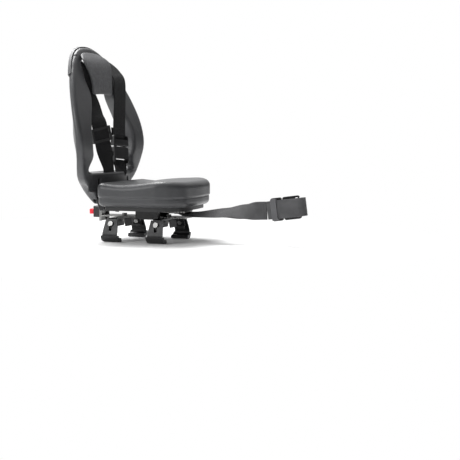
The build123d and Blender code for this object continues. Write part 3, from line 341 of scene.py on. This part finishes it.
def web_material(name, colour, along=1.25, across=1.7):
    """Woven webbing, from the band's own map: ribs across, cords along, fuzz and paler threads."""
    shader = Shader(name)
    strand = shader.node("ShaderNodeUVMap", uv_map="web").outputs["UV"]
    split = shader.node("ShaderNodeSeparateXYZ", Vector=strand)
    turns = 2.0 * math.pi
    rib = shader.math("SINE", shader.math("MULTIPLY", split.outputs["X"], turns / along))
    cord = shader.math("SINE", shader.math("MULTIPLY", split.outputs["Y"], turns / across))
    weave = shader.math("MULTIPLY", rib, cord)
    fuzz = shader.noise(shader.place(), 1400.0, 2.0, 0.7)
    broad = shader.noise(shader.place(), 35.0, 3.0, 0.6)
    tint = shader.mix(shader.span(weave, 0.0, 1.0, -1.0, 1.0), shade(colour, 0.55),
                      shade(colour, 1.35))
    tint = shader.mix(shader.span(broad, 0.0, 0.5, 0.4, 0.7), tint, shade(colour, 1.5))
    height = shader.math("ADD", weave, shader.math("MULTIPLY", fuzz, 0.6))
    shader.set(Base_Color=tint, Roughness=shader.span(fuzz, 0.70, 0.90, 0.3, 0.7),
               Normal=shader.bump(height, 0.55, 0.0004), Sheen_Weight=0.08, Sheen_Roughness=0.4,
               Specular_IOR_Level=0.25)
    return shader.material


MATERIALS = {
    "charcoal_foam": foam_material("foam_skin", (0.044, 0.045, 0.048)),
    "headboard_plastic": headboard_material("headboard_board", (0.080, 0.081, 0.085)),
    # the cover's last number sets a weaker painted edge highlight than the other plastics get
    "cover_plastic": plastic_material("cover_moulding", (0.042, 0.043, 0.046), 0.48, 500.0, 0.12,
                                      1.2),
    "black_plastic": plastic_material("black_moulding", (0.011, 0.011, 0.012), 0.42, 650.0, 0.14),
    "black_steel": paint_material("black_powder_coat", (0.010, 0.010, 0.011)),
    "zinc_steel": zinc_material("zinc_plate", (0.24, 0.24, 0.235)),
    "red_plastic": plastic_material("red_moulding", (0.70, 0.012, 0.03), 0.30, 500.0, 0.06),
    "saddle_rubber": rubber_material("saddle_rubber", (0.03, 0.03, 0.03)),
    "black_webbing": web_material("black_weave", (0.010, 0.010, 0.011)),
    "grey_webbing": web_material("grey_weave", (0.080, 0.080, 0.083)),
    "slider_plastic": plastic_material("slider_moulding", (0.075, 0.075, 0.08), 0.4, 600.0, 0.12),
}
THREAD = web_material("stitch_thread", (0.045, 0.045, 0.048), 0.5, 0.5)

for entry in frame["record"]["subparts"]:
    skin = frame["nodes"][entry["node"]].data.materials
    skin.clear()
    skin.append(MATERIALS[entry["material_slot"]])


# Mesh helpers


def spline(points, step):
    """Points along a smooth curve through the given points, about a step apart."""
    ends = [2 * points[0] - points[1], *points, 2 * points[-1] - points[-2]]
    curve = []
    for before, start, stop, after in zip(ends, ends[1:], ends[2:], ends[3:]):
        count = max(2, round((stop - start).length / step))
        for index in range(count):
            t = index / count
            curve.append(0.5 * (2 * start + (stop - before) * t
                                + (2 * before - 5 * start + 4 * stop - after) * t ** 2
                                + (3 * start - before - 3 * stop + after) * t ** 3))
    return [*curve, points[-1].copy()]


def finished(name, bm):
    """Mesh made of a bmesh, its faces turned outwards."""
    bmesh.ops.recalc_face_normals(bm, faces=bm.faces)
    mesh = bpy.data.meshes.new(name)
    bm.to_mesh(mesh)
    bm.free()
    return mesh


def ring_mesh(name, rings):
    """Closed mesh through rings of places in millimetres, with a face over each end."""
    bm = bmesh.new()
    rows = [[bm.verts.new(place * MM) for place in ring] for ring in rings]
    count = len(rows[0])
    for row, other in zip(rows, rows[1:]):
        for index in range(count):
            after = (index + 1) % count
            bm.faces.new((row[index], row[after], other[after], other[index]))
    bm.faces.new(rows[0])
    bm.faces.new(rows[-1])
    return finished(name, bm)


def new_piece(name, mesh, body, slot, *nodes):
    """Smooth-shaded object that rides on a body and stands for CAD nodes."""
    for polygon in mesh.polygons:
        polygon.use_smooth = True
    piece = bpy.data.objects.new(name, mesh)
    bpy.context.scene.collection.objects.link(piece)
    mesh.materials.clear()
    mesh.materials.append(MATERIALS[slot])
    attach(piece, body)
    if nodes:
        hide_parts(*nodes)
    return piece


# Half of the webbing's section: place across from -1 to 1, half thickness from 0 to 1
WEB_SECTION = [(-1.0, 0.3), (-0.985, 0.75), (-0.95, 1.0), (-0.88, 0.86), (-0.5, 0.9), (0.0, 0.9),
               (0.5, 0.9), (0.88, 0.86), (0.95, 1.0), (0.985, 0.75), (1.0, 0.3)]


def band_frames(stations):
    """Centre, direction across and normal along a band given by centres and directions across."""
    packed = []
    for centre, across in stations:
        packed.append((Vector(centre), Vector(across).normalized()))
    centres = spline([centre for centre, across in packed], SAMPLE)
    turns = []
    for (start, first), (stop, second) in zip(packed, packed[1:]):
        count = max(2, round((stop - start).length / SAMPLE))
        turns += [first.lerp(second, (index / count) ** 2 * (3 - 2 * index / count)).normalized()
                  for index in range(count)]
    turns.append(packed[-1][1])
    frames = []
    for index, centre in enumerate(centres):
        ahead = centres[min(index + 1, len(centres) - 1)]
        behind = centres[max(index - 1, 0)]
        along = (ahead - behind).normalized()
        across = (turns[index] - along * turns[index].dot(along)).normalized()
        frames.append((centre, across, across.cross(along)))
    return frames


def band_mesh(name, frames, width, sheet):
    """Closed mesh of webbing along frames in millimetres, mapped along and across in millimetres."""
    profile = [(a, b) for a, b in WEB_SECTION] + [(a, -b) for a, b in reversed(WEB_SECTION)]
    size = len(profile)
    bm = bmesh.new()
    layer = bm.loops.layers.uv.new("web")
    rows, lengths, length = [], [], 0.0
    for index, (centre, across, normal) in enumerate(frames):
        if index:
            length += (centre - frames[index - 1][0]).length
        lengths.append(length)
        rows.append([bm.verts.new((centre + across * (a * width / 2) + normal * (b * sheet / 2)) * MM)
                     for a, b in profile])
    for index in range(len(rows) - 1):
        for side in range(size):
            other = (side + 1) % size
            face = bm.faces.new((rows[index][side], rows[index][other], rows[index + 1][other],
                                 rows[index + 1][side]))
            marks = [(index, side), (index, other), (index + 1, other), (index + 1, side)]
            for loop, (row, column) in zip(face.loops, marks):
                loop[layer].uv = (lengths[row], profile[column][0] * width / 2)
    for row in (rows[0], rows[-1]):
        bm.faces.new(row)
    return finished(name, bm)


STITCH_LENGTH = 2.4
STITCH_GAP = 1.1
STITCH_RADIUS = 0.38
STITCH_SIDES = 6
# Place along a stitch and share of its radius there
STITCH_FORM = ((-0.5, 0.25), (-0.3, 0.9), (0.0, 1.0), (0.3, 0.9), (0.5, 0.25))


def stitches(name, body, spots):
    """Thread runs: each spot gives a start, an end and the surface normal, in millimetres."""
    bm = bmesh.new()
    layer = bm.loops.layers.uv.new("web")
    for start, stop, normal in spots:
        run = stop - start
        count = max(1, int(run.length / (STITCH_LENGTH + STITCH_GAP)))
        along = run.normalized()
        across = normal.cross(along)
        for index in range(count):
            middle = start + run * ((index + 0.5) / count)
            rings = []
            for share, swell in STITCH_FORM:
                hub = middle + along * (share * STITCH_LENGTH)
                ring = []
                for corner in range(STITCH_SIDES):
                    angle = corner * 2 * math.pi / STITCH_SIDES
                    out = across * math.cos(angle) + normal * math.sin(angle)
                    ring.append(bm.verts.new((hub + out * STITCH_RADIUS * swell) * MM))
                rings.append(ring)
            for ring, other in zip(rings, rings[1:]):
                for corner in range(STITCH_SIDES):
                    face = bm.faces.new((ring[corner], ring[corner - 1], other[corner - 1],
                                         other[corner]))
                    for loop in face.loops:
                        loop[layer].uv = (index * STITCH_LENGTH, corner * STITCH_RADIUS)
            bm.faces.new(rings[0])
            bm.faces.new(rings[-1])
    mesh = finished(name, bm)
    new_piece(name, mesh, body, "black_webbing")
    mesh.materials.clear()
    mesh.materials.append(THREAD)


def box_stitch(frame_at, half_along, half_across, lift):
    """Rectangle with a cross in it, sewn on a band: start, end and normal of each run."""
    centre, across, normal = frame_at
    along = normal.cross(across)
    corner = [centre + across * (a * half_across) + along * (b * half_along) + normal * lift
              for a, b in ((-1, -1), (1, -1), (1, 1), (-1, 1))]
    pairs = [(0, 1), (1, 2), (2, 3), (3, 0), (0, 2), (1, 3)]
    return [(corner[a], corner[b], normal) for a, b in pairs]


# Seat cushion: moulded form with a real crease round its side


def rounded_outline(corners, radii, step):
    """Closed outline through corners with their own radii, as points a step apart."""
    points = []
    for index, (corner, radius) in enumerate(zip(corners, radii)):
        to_last = (corners[index - 1] - corner).normalized()
        to_next = (corners[(index + 1) % len(corners)] - corner).normalized()
        half = to_last.angle(to_next) / 2
        centre = corner + (to_last + to_next).normalized() * (radius / math.sin(half))
        first = corner + to_last * (radius / math.tan(half)) - centre
        last = corner + to_next * (radius / math.tan(half)) - centre
        count = max(3, round(radius * (math.pi - 2 * half) / step))
        points += [centre + first.slerp(last, n / count).normalized() * radius
                   for n in range(count + 1)]
    closed = [*points, points[0]]
    outline = []
    for start, stop in zip(closed, closed[1:]):
        count = max(1, round((stop - start).length / step))
        outline += [start.lerp(stop, n / count) for n in range(count)]
    return outline


def curve_height(knots, x):
    """Height of a smooth curve through knots at a place along x."""
    for index in range(len(knots) - 1):
        (x0, z0), (x1, z1) = knots[index], knots[index + 1]
        if x <= x1 or index == len(knots) - 2:
            slope = []
            for place in (index, index + 1):
                low, high = knots[max(place - 1, 0)], knots[min(place + 1, len(knots) - 1)]
                slope.append((high[1] - low[1]) / (high[0] - low[0]))
            span = x1 - x0
            t = (x - x0) / span
            return ((2 * t ** 3 - 3 * t ** 2 + 1) * z0 + (t ** 3 - 2 * t ** 2 + t) * span * slope[0]
                    + (3 * t ** 2 - 2 * t ** 3) * z1 + (t ** 3 - t ** 2) * span * slope[1])


# Which height a ring of the cushion is measured from: the floor, the side's own span, or the top
FROM_FLOOR, ALONG_SIDE, FROM_TOP = range(3)
# Shares of the way out from the middle, offsets from the crease, and places up the plain side
UNDERSIDE_SHARES = (0.1, 0.4, 0.7, 0.9)
TOP_SHARES = (0.94, 0.88, 0.8, 0.7, 0.6, 0.5, 0.4, 0.3, 0.2, 0.1, 0.04)
CREASE_OFFSETS = (-8.0, -5.0, -2.6, -1.9, -1.2, -0.6, 0.0, 0.6, 1.2, 1.9, 2.6, CREASE_REACH)
SIDE_SHARES = (0.25, 0.6, 0.85)


def quarter_turn(count):
    """Angles from nought to a right angle."""
    return [n / count * math.pi / 2 for n in range(count + 1)]


def cushion_outline():
    """Outline of the cushion from above, and its outward normals."""
    side_front = CUSHION_FRONT - CUSHION_BOW
    corners = [Vector((CUSHION_REAR, -CUSHION_HALF)), Vector((side_front, -CUSHION_HALF)),
               Vector((CUSHION_FRONT, 0.0)), Vector((side_front, CUSHION_HALF)),
               Vector((CUSHION_REAR, CUSHION_HALF))]
    outline = rounded_outline(corners, CUSHION_CORNERS, CUSHION_STEP)
    normals = []
    for index in range(len(outline)):
        along = (outline[(index + 1) % len(outline)] - outline[index - 1]).normalized()
        normals.append(Vector((along.y, -along.x)))
    return outline, normals


def cushion_levels():
    """Inset, share of the way out, height and height rule of each ring, from underside to top."""
    levels = []
    for share in UNDERSIDE_SHARES:
        levels.append((CUSHION_LOW_ROUND + LOWER_INSET, share, CUSHION_LOW, FROM_FLOOR))
    for angle in quarter_turn(8):
        levels.append((CUSHION_LOW_ROUND * (1 - math.sin(angle)) + LOWER_INSET, 1.0,
                       CUSHION_LOW + CUSHION_LOW_ROUND * (1 - math.cos(angle)), FROM_FLOOR))
    for offset in CREASE_OFFSETS:
        below = min(max(0.5 - offset / (2 * CREASE_HALF), 0.0), 1.0)
        depth = CREASE_DEPTH * max(0.0, 1 - (offset / CREASE_HALF) ** 2) ** 2
        depth += LOWER_INSET * below * below * (3 - 2 * below)
        levels.append((depth, 1.0, CREASE_Z + offset, FROM_FLOOR))
    for share in SIDE_SHARES:
        levels.append((0.0, 1.0, share, ALONG_SIDE))
    for angle in quarter_turn(8):
        levels.append((CUSHION_TOP_ROUND * (1 - math.cos(angle)), 1.0,
                       CUSHION_TOP_ROUND * (math.sin(angle) - 1), FROM_TOP))
    for share in TOP_SHARES:
        levels.append((CUSHION_TOP_ROUND, share, 0.0, FROM_TOP))
    return levels


def cushion_top(place):
    """Height of the cushion's top, which drops towards both sides in front of the middle."""
    drop = math.exp(-((place.x - EDGE_DROP_X) / EDGE_DROP_REACH) ** 2)
    return curve_height(CUSHION_TOP, place.x) - (EDGE_DROP * drop * (place.y / CUSHION_HALF) ** 2)


def cushion_piece():
    """Cushion as rings from the middle of its underside, round its edge, to the middle of its top."""
    outline, normals = cushion_outline()
    middle = Vector(((CUSHION_REAR + CUSHION_FRONT) / 2, 0.0))
    side_low = CREASE_Z + CREASE_REACH
    rings = []
    for inset, share, height, rule in cushion_levels():
        ring = []
        for point, normal in zip(outline, normals):
            place = middle + (point - normal * inset - middle) * share
            top = cushion_top(place)
            z = height
            if rule == ALONG_SIDE:
                z = side_low + (top - CUSHION_TOP_ROUND - side_low) * height
            if rule == FROM_TOP:
                z = top + height
            ripple = noise.noise(Vector((place.x, place.y, z)) / RIPPLE_LENGTH) * RIPPLE
            out = normal * ripple if share == 1.0 else Vector((0.0, 0.0))
            rise = ripple if rule == FROM_TOP else 0.0
            ring.append(Vector((place.x + out.x, place.y + out.y, z + rise)))
        rings.append(ring)
    return new_piece("cushion_skin", ring_mesh("cushion_skin", rings), "base", "charcoal_foam",
                     "seat_cushion")


# Spring behind the button


def spring_piece():
    """Button's coil spring, which closes up against the housing when the button is pressed."""
    mesh = frame["nodes"]["button_spring"].data.copy()
    coil = new_piece("spring_coil", mesh, "base", "zinc_steel", "button_spring")
    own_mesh(coil)


# Backrest foam: the solid's form, softened as foam comes out of its mould

FOAM_VOXEL = 0.0022
FOAM_SMOOTHING = 7
FOAM_SMOOTH_FACTOR = 0.5
FOAM_UNEVEN = 0.0003
FOAM_UNEVEN_SCALE = 22.0

# Half widths of the backrest in millimetres by height: the solid's opening, the photograph's opening
# and the outline; the photograph's is a slit beside the headboard that flares out below it
SOLID_HOLE = (
    (140.0, 100.0), (170.0, 102.0), (190.0, 91.0), (210.0, 82.0), (230.0, 79.0), (270.0, 80.0),
    (290.0, 79.0), (310.0, 76.5), (330.0, 70.0), (350.0, 60.5), (370.0, 38.0), (378.0, 38.0),
)
PHOTO_HOLE = (
    (140.0, 90.0), (150.0, 83.0), (160.0, 84.0), (172.0, 88.0), (190.0, 92.0), (210.0, 92.0),
    (231.0, 87.0), (251.0, 77.0), (276.0, 59.0), (290.0, 50.0), (303.0, 48.0), (326.0, 50.0),
    (346.0, 46.0), (360.0, 40.0), (370.0, 29.0), (378.0, 32.0),
)
SOLID_OUTLINE = (
    (76.0, 62.0), (126.0, 109.0), (188.0, 139.0), (256.0, 122.0), (345.0, 92.5), (396.0, 60.0),
)


def narrowed(place):
    """A point of the backrest, moved so that the solid's opening takes the photograph's outline."""
    z = place.z / MM
    if not SOLID_HOLE[0][0] < z < SOLID_HOLE[-1][0]:
        return place
    hole = curve_height(SOLID_HOLE, z)
    outline = curve_height(SOLID_OUTLINE, z)
    share = min(1.0, max(0.0, (outline - abs(place.y) / MM) / (outline - hole)))
    shift = (curve_height(PHOTO_HOLE, z) - hole) * share * MM
    return Vector((place.x, place.y + math.copysign(1.0, place.y) * shift, place.z))


def foam_piece():
    """Backrest foam remeshed evenly, its opening narrowed, its rims eased and its faces uneven."""
    mesh = frame["nodes"]["backrest_foam"].data.copy()
    blank = bpy.data.objects.new("foam_blank", mesh)
    bpy.context.scene.collection.objects.link(blank)
    remesh = blank.modifiers.new("remesh", "REMESH")
    remesh.mode = "VOXEL"
    remesh.voxel_size = FOAM_VOXEL
    smooth = blank.modifiers.new("smooth", "SMOOTH")
    smooth.factor = FOAM_SMOOTH_FACTOR
    smooth.iterations = FOAM_SMOOTHING
    shown = blank.evaluated_get(bpy.context.evaluated_depsgraph_get())
    skin = bpy.data.meshes.new_from_object(shown)
    bpy.data.objects.remove(blank)
    for vertex in skin.vertices:
        uneven = vertex.normal * (noise.noise(vertex.co * FOAM_UNEVEN_SCALE) * FOAM_UNEVEN)
        vertex.co = narrowed(vertex.co) + uneven
    return new_piece("backrest_skin", skin, "backrest", "charcoal_foam", "backrest_foam")


# Headboard: the solid's sheet with the photograph's outline

HEADBOARD_FACE = ((286.0, -96.0), (330.0, -99.0), (366.0, -110.0), (386.0, -129.0), (392.0, -134.5))
HEADBOARD_SIDE = (
    (298.5, 36.0), (301.5, 40.0), (315.0, 41.0), (332.0, 43.5), (346.0, 48.5), (360.0, 53.0),
    (370.0, 53.0), (379.0, 43.0), (384.5, 24.0), (386.0, 0.0),
)
HEADBOARD_SHEET = 5.5
HEADBOARD_ROUND = 2.0
HEADBOARD_MIDDLE = (0.0, 338.0)
HEADBOARD_STEP = 2.0
HEADBOARD_FOOT_ARCH = 1.2
FACE_SHARES = (0.05, 0.2, 0.4, 0.6, 0.8, 0.9, 0.96)
BACK_SHARES = (0.96, 0.8, 0.6, 0.4, 0.2, 0.05)


def headboard_outline():
    """Outline of the headboard from the front: across, up."""
    side = spline([Vector((out, z, 0.0)) for z, out in HEADBOARD_SIDE], HEADBOARD_STEP)
    foot = []
    for n in range(10):
        share = n / 10
        rise = HEADBOARD_FOOT_ARCH * (1 - share ** 2)
        foot.append(Vector((side[0].x * share, side[0].y + rise, 0.0)))
    half = foot + side
    return half + [Vector((-point.x, point.y, 0.0)) for point in reversed(half[1:-1])]


def headboard_piece():
    """Headboard as rings from the middle of its face, round its edge, to the middle of its back."""
    levels = [(share, 0.0, 0.0) for share in FACE_SHARES]
    for angle in quarter_turn(4):
        levels.append((1.0, HEADBOARD_ROUND * (1 - math.sin(angle)),
                       HEADBOARD_ROUND * (1 - math.cos(angle))))
    for angle in reversed(quarter_turn(4)):
        levels.append((1.0, HEADBOARD_ROUND * (1 - math.sin(angle)),
                       HEADBOARD_SHEET - HEADBOARD_ROUND * (1 - math.cos(angle))))
    levels += [(share, 0.0, HEADBOARD_SHEET) for share in BACK_SHARES]
    middle = Vector((*HEADBOARD_MIDDLE, 0.0))
    outline = headboard_outline()
    rings = []
    for share, inset, depth in levels:
        ring = []
        for point in outline:
            out = point - middle
            kept = inset if share == 1.0 else HEADBOARD_ROUND
            place = middle + out * (share * (1 - kept / out.length))
            face = curve_height(HEADBOARD_FACE, place.y)
            ring.append(Vector((face - depth, place.x, place.y)))
        rings.append(ring)
    return new_piece("headboard_skin", ring_mesh("headboard_skin", rings), "backrest",
                     "headboard_plastic", "headboard")


# Harness webbing


def web_across(side_name, turn):
    """Direction across a web turned about the upright."""
    angle = math.radians(turn)
    return Vector((math.cos(angle), -SIDES[side_name] * math.sin(angle), 0.0))


def web_stations(side_name, stations):
    """Centres and directions across for a list of places along a web."""
    side = SIDES[side_name]
    return [((x, side * out, z), web_across(side_name, turn)) for x, out, z, turn in stations]


def flat_stations(side_name):
    """Both ends of a web's flat stretch."""
    turn = WEB_TURNS[side_name]
    return web_stations(side_name, [(*place, turn) for place in WEB_FLATS[side_name]])


def low_stations(side_name):
    """The web's low end, down to where it ends inside the foam."""
    x, out, z, turn = WEB_ENDS[side_name]
    return web_stations(side_name, [WEB_ENDS[side_name], (x, out, WEB_LOW, turn)])


def buckle_axes():
    """Middle of the buckle on the left web, its way up, its way across and its front normal."""
    (top, across), (low, _) = flat_stations("left")
    top, low = Vector(top), Vector(low)
    up = (top - low).normalized()
    across = (across - up * across.dot(up)).normalized()
    normal = across.cross(up)
    if normal.x < 0:
        across, normal = -across, -normal
    share = (BUCKLE_Z - low.z) / (top.z - low.z)
    return low.lerp(top, share), up, across, normal


def turned_back(hand, tail):
    """Stations of a web that goes round a buckle's bar and back; hand is 1 at the plug, -1 below."""
    middle, up, across, normal = buckle_axes()
    bar = middle + up * (hand * BUCKLE_BAR_UP) + normal * BAR_DEPTH
    stations = []
    for angle in (0, 30, 60, 90, 120, 150, 180):
        turn = math.radians(angle)
        out = normal * (-BAR_DEPTH * math.cos(turn)) - up * (hand * BAR_SLACK * math.sin(turn))
        stations.append((bar + out, across))
    behind = bar + normal * BAR_DEPTH
    stations.append((behind + up * (hand * tail / 2), across))
    stations.append((behind + up * (hand * tail) + normal * -1.0, across))
    return stations


def fit_across(stations):
    """Turns directions across that point the other way, so that a band doesn't flip over."""
    fitted = [stations[0]]
    for centre, across in stations[1:]:
        across = Vector(across)
        fitted.append((centre, -across if across.dot(Vector(fitted[-1][1])) < 0 else across))
    return fitted


def harness():
    """Three webs of the harness, with the sewn tails at the buckle."""
    right = band_frames(fit_across([*web_stations("right", WEB_STATIONS["right"]),
                                    *flat_stations("right"), *low_stations("right")]))
    new_piece("right_web", band_mesh("right_web", right, WEB_WIDTH, WEB_SHEET), "backrest",
              "black_webbing", "right_shoulder_strap")
    flat_top, flat_low = flat_stations("left")
    left = band_frames(fit_across([*web_stations("left", WEB_STATIONS["left"]), flat_top,
                                   *turned_back(1.0, TAIL_LENGTH)]))
    new_piece("left_web", band_mesh("left_web", left, WEB_WIDTH, WEB_SHEET), "backrest",
              "black_webbing", "left_shoulder_strap")
    low = list(reversed(low_stations("left")))
    lower = band_frames(fit_across([*low, flat_low, *turned_back(-1.0, LOW_TAIL_LENGTH)]))
    new_piece("left_low_web", band_mesh("left_low_web", lower, WEB_WIDTH, WEB_SHEET), "backrest",
              "black_webbing", "left_lower_strap")
    middle, up, across, normal = buckle_axes()
    sewn = middle + up * (BUCKLE_BAR_UP + TAIL_LENGTH * SEWN_SHARE)
    spots = box_stitch((sewn, across, normal), SEWN_ALONG, SEWN_ACROSS, WEB_SHEET / 2)
    stitches("harness_stitching", "backrest", spots)


# Safety strap and its loop


def loop_axes():
    """Origin of the loop, its way to the post, its way left and its way up the post."""
    along = Vector((math.cos(LOOP_RISE), 0.0, math.sin(LOOP_RISE)))
    up = Vector((-math.sin(LOOP_RISE), 0.0, math.cos(LOOP_RISE)))
    return Vector(LOOP_PLACE), along, Vector((0.0, 1.0, 0.0)), up


def loop_stations():
    """Places round the loop, from its root, round the post and back."""
    origin, along, left, up = loop_axes()
    spread = math.asin((LOOP_RADIUS - LOOP_TIP) / (LOOP_POST - LOOP_ROOT))
    places = []
    for angle in range(8):
        turn = math.pi / 2 + spread - angle / 7 * (math.pi / 2 + spread)
        places.append((LOOP_POST + LOOP_RADIUS * math.cos(turn), LOOP_RADIUS * math.sin(turn)))
    root = (LOOP_ROOT + LOOP_TIP * math.cos(math.pi / 2 + spread),
            LOOP_TIP * math.sin(math.pi / 2 + spread))
    run = [(root[0] + (places[0][0] - root[0]) * share, root[1] + (places[0][1] - root[1]) * share)
           for share in (0.0, 0.33, 0.67)]
    half = run + places
    route = [(a, -b) for a, b in half] + list(reversed(half[:-1]))
    return [(origin + along * a + left * b, up) for a, b in route]


def safety_strap():
    """Strap that twists on its way to the post, its loop, and the sewn root between them."""
    stations = []
    for x, z, turn in STRAP_STATIONS:
        angle = math.radians(turn)
        stations.append(((x, 0.0, z), Vector((0.0, math.cos(angle), math.sin(angle)))))
    origin, along, left, up = loop_axes()
    stations.append((origin + along * (LOOP_ROOT - LOOP_TIP), up))
    strap = band_frames(fit_across(stations))
    new_piece("safety_web", band_mesh("safety_web", strap, STRAP_WIDTH, WEB_SHEET), "base",
              "grey_webbing", "safety_strap")
    loop = band_frames(loop_stations())
    new_piece("post_loop_web", band_mesh("post_loop_web", loop, STRAP_WIDTH, WEB_SHEET), "base",
              "grey_webbing", "strap_loop")
    spots = []
    for back in ROOT_SEAMS:
        start = origin - along * back - up * ROOT_SEAM_HALF
        stop = origin - along * back + up * ROOT_SEAM_HALF
        spots.append((start - left * (WEB_SHEET / 2), stop - left * (WEB_SHEET / 2), -left))
    stitches("strap_stitching", "base", spots)


# Light, floor and camera

FLOOR_SIZE = 6.0
FLOOR_DROP = 0.0004
FLOOR_FADE = (0.20, 0.62)
FLOOR_TONES = ((0.90, 0.90, 0.90, 1.0), (0.93, 0.93, 0.93, 1.0))
BACKDROP_WAY = (-0.50, 0.25, 0.83)
BACKDROP_EDGE = (0.1, 0.9)
ROOM_STRENGTH = 0.07
# Name, place, target, side and power of each soft light
LAMPS = (
    ("overhead", (-0.75, 0.45, 1.75), (0.0, 0.0, 0.15), 1.3, 62.0),
    ("side_key", (-1.2, -1.8, 1.0), (0.0, 0.0, 0.2), 0.9, 17.0),
    ("front_fill", (1.0, -2.2, 0.9), (0.0, 0.0, 0.1), 0.8, 5.0),
)


def seen_directly(tree, mirrored):
    """One for rays that show the background; the mirrored share for rays off glossy surfaces."""
    path = tree.nodes.new("ShaderNodeLightPath")
    share = path.outputs["Is Camera Ray"]
    glossy = tree.nodes.new("ShaderNodeMath")
    glossy.operation = "MULTIPLY"
    tree.links.new(path.outputs["Is Glossy Ray"], glossy.inputs[0])
    tree.links.new(mirrored, glossy.inputs[1])
    for other in (path.outputs["Is Transmission Ray"], glossy.outputs[0]):
        either = tree.nodes.new("ShaderNodeMath")
        either.operation = "MAXIMUM"
        tree.links.new(share, either.inputs[0])
        tree.links.new(other, either.inputs[1])
        share = either.outputs[0]
    return share


def world():
    """White surroundings where seen; as light, a bright sky above and behind in a dim room."""
    made = bpy.data.worlds.new("studio")
    made.use_nodes = True
    tree = made.node_tree
    tree.nodes.clear()
    output = tree.nodes.new("ShaderNodeOutputWorld")
    room, white = [tree.nodes.new("ShaderNodeBackground") for _ in range(2)]
    for background, strength in ((room, ROOM_STRENGTH), (white, 1.0)):
        background.inputs["Color"].default_value = (1.0, 1.0, 1.0, 1.0)
        background.inputs["Strength"].default_value = strength
    toward = tree.nodes.new("ShaderNodeVectorMath")
    toward.operation = "DOT_PRODUCT"
    tree.links.new(tree.nodes.new("ShaderNodeTexCoord").outputs["Generated"], toward.inputs[0])
    toward.inputs[1].default_value = BACKDROP_WAY
    backdrop = tree.nodes.new("ShaderNodeMapRange")
    backdrop.interpolation_type = "SMOOTHSTEP"
    tree.links.new(toward.outputs["Value"], backdrop.inputs["Value"])
    backdrop.inputs["From Min"].default_value = BACKDROP_EDGE[0]
    backdrop.inputs["From Max"].default_value = BACKDROP_EDGE[1]
    lit, seen = [tree.nodes.new("ShaderNodeMixShader") for _ in range(2)]
    tree.links.new(backdrop.outputs["Result"], lit.inputs["Fac"])
    tree.links.new(seen_directly(tree, backdrop.outputs["Result"]), seen.inputs["Fac"])
    tree.links.new(room.outputs[0], lit.inputs[1])
    tree.links.new(white.outputs[0], lit.inputs[2])
    tree.links.new(lit.outputs[0], seen.inputs[1])
    tree.links.new(white.outputs[0], seen.inputs[2])
    tree.links.new(seen.outputs[0], output.inputs["Surface"])
    bpy.context.scene.world = made


def floor():
    """Pale floor under the hooks that fades into the white surroundings."""
    mesh = bpy.data.meshes.new("floor")
    half = FLOOR_SIZE / 2
    mesh.from_pydata([(-half, -half, 0), (half, -half, 0), (half, half, 0), (-half, half, 0)], [],
                     [(0, 1, 2, 3)])
    plane = bpy.data.objects.new("floor", mesh)
    plane.location.z = -FLOOR_DROP
    bpy.context.scene.collection.objects.link(plane)
    shader = Shader("floor_paper")
    place = shader.place()
    grain = shader.noise(place, 30.0, 3.0)
    tint = shader.mix(grain, *FLOOR_TONES)
    shader.set(Base_Color=tint, Roughness=0.85, Specular_IOR_Level=0.1)
    reach = shader.node("ShaderNodeVectorMath", operation="LENGTH")
    shader.feed(reach.inputs[0], place)
    fade = shader.span(reach.outputs["Value"], 0.0, 1.0, *FLOOR_FADE)
    tree = shader.tree
    share = shader.math("MULTIPLY", fade, seen_directly(tree, fade))
    white = shader.node("ShaderNodeEmission", Strength=1.0)
    mix = tree.nodes.new("ShaderNodeMixShader")
    tree.links.new(share, mix.inputs["Fac"])
    tree.links.new(shader.principled.outputs[0], mix.inputs[1])
    tree.links.new(white.outputs[0], mix.inputs[2])
    tree.links.new(mix.outputs[0], tree.nodes["Material Output"].inputs["Surface"])
    mesh.materials.append(shader.material)


def lamp(name, place, target, size, power):
    """Square soft light aimed at a point."""
    data = bpy.data.lights.new(name, "AREA")
    data.shape = "SQUARE"
    data.size = size
    data.energy = power
    light = bpy.data.objects.new(name, data)
    light.location = place
    light.rotation_mode = "QUATERNION"
    light.rotation_quaternion = (Vector(target) - Vector(place)).to_track_quat("-Z", "Y")
    bpy.context.scene.collection.objects.link(light)


def camera():
    """Camera at the photograph's place, looking slightly down."""
    data = bpy.data.cameras.new("camera")
    data.lens = CAMERA_LENS
    data.sensor_width = CAMERA_SENSOR
    data.clip_start, data.clip_end = CAMERA_CLIP
    made = bpy.data.objects.new("camera", data)
    made.location = CAMERA_PLACE
    look = Vector((-math.sin(CAMERA_YAW) * math.cos(CAMERA_PITCH),
                   math.cos(CAMERA_YAW) * math.cos(CAMERA_PITCH), -math.sin(CAMERA_PITCH)))
    made.rotation_mode = "QUATERNION"
    made.rotation_quaternion = look.to_track_quat("-Z", "Y")
    bpy.context.scene.collection.objects.link(made)
    bpy.context.scene.camera = made


bpy.context.scene.view_settings.view_transform = "Standard"
camera()
world()
floor()
for settings in LAMPS:
    lamp(*settings)

spring_piece()
cushion = cushion_piece()
foam = foam_piece()
headboard_piece()
harness()
safety_strap()
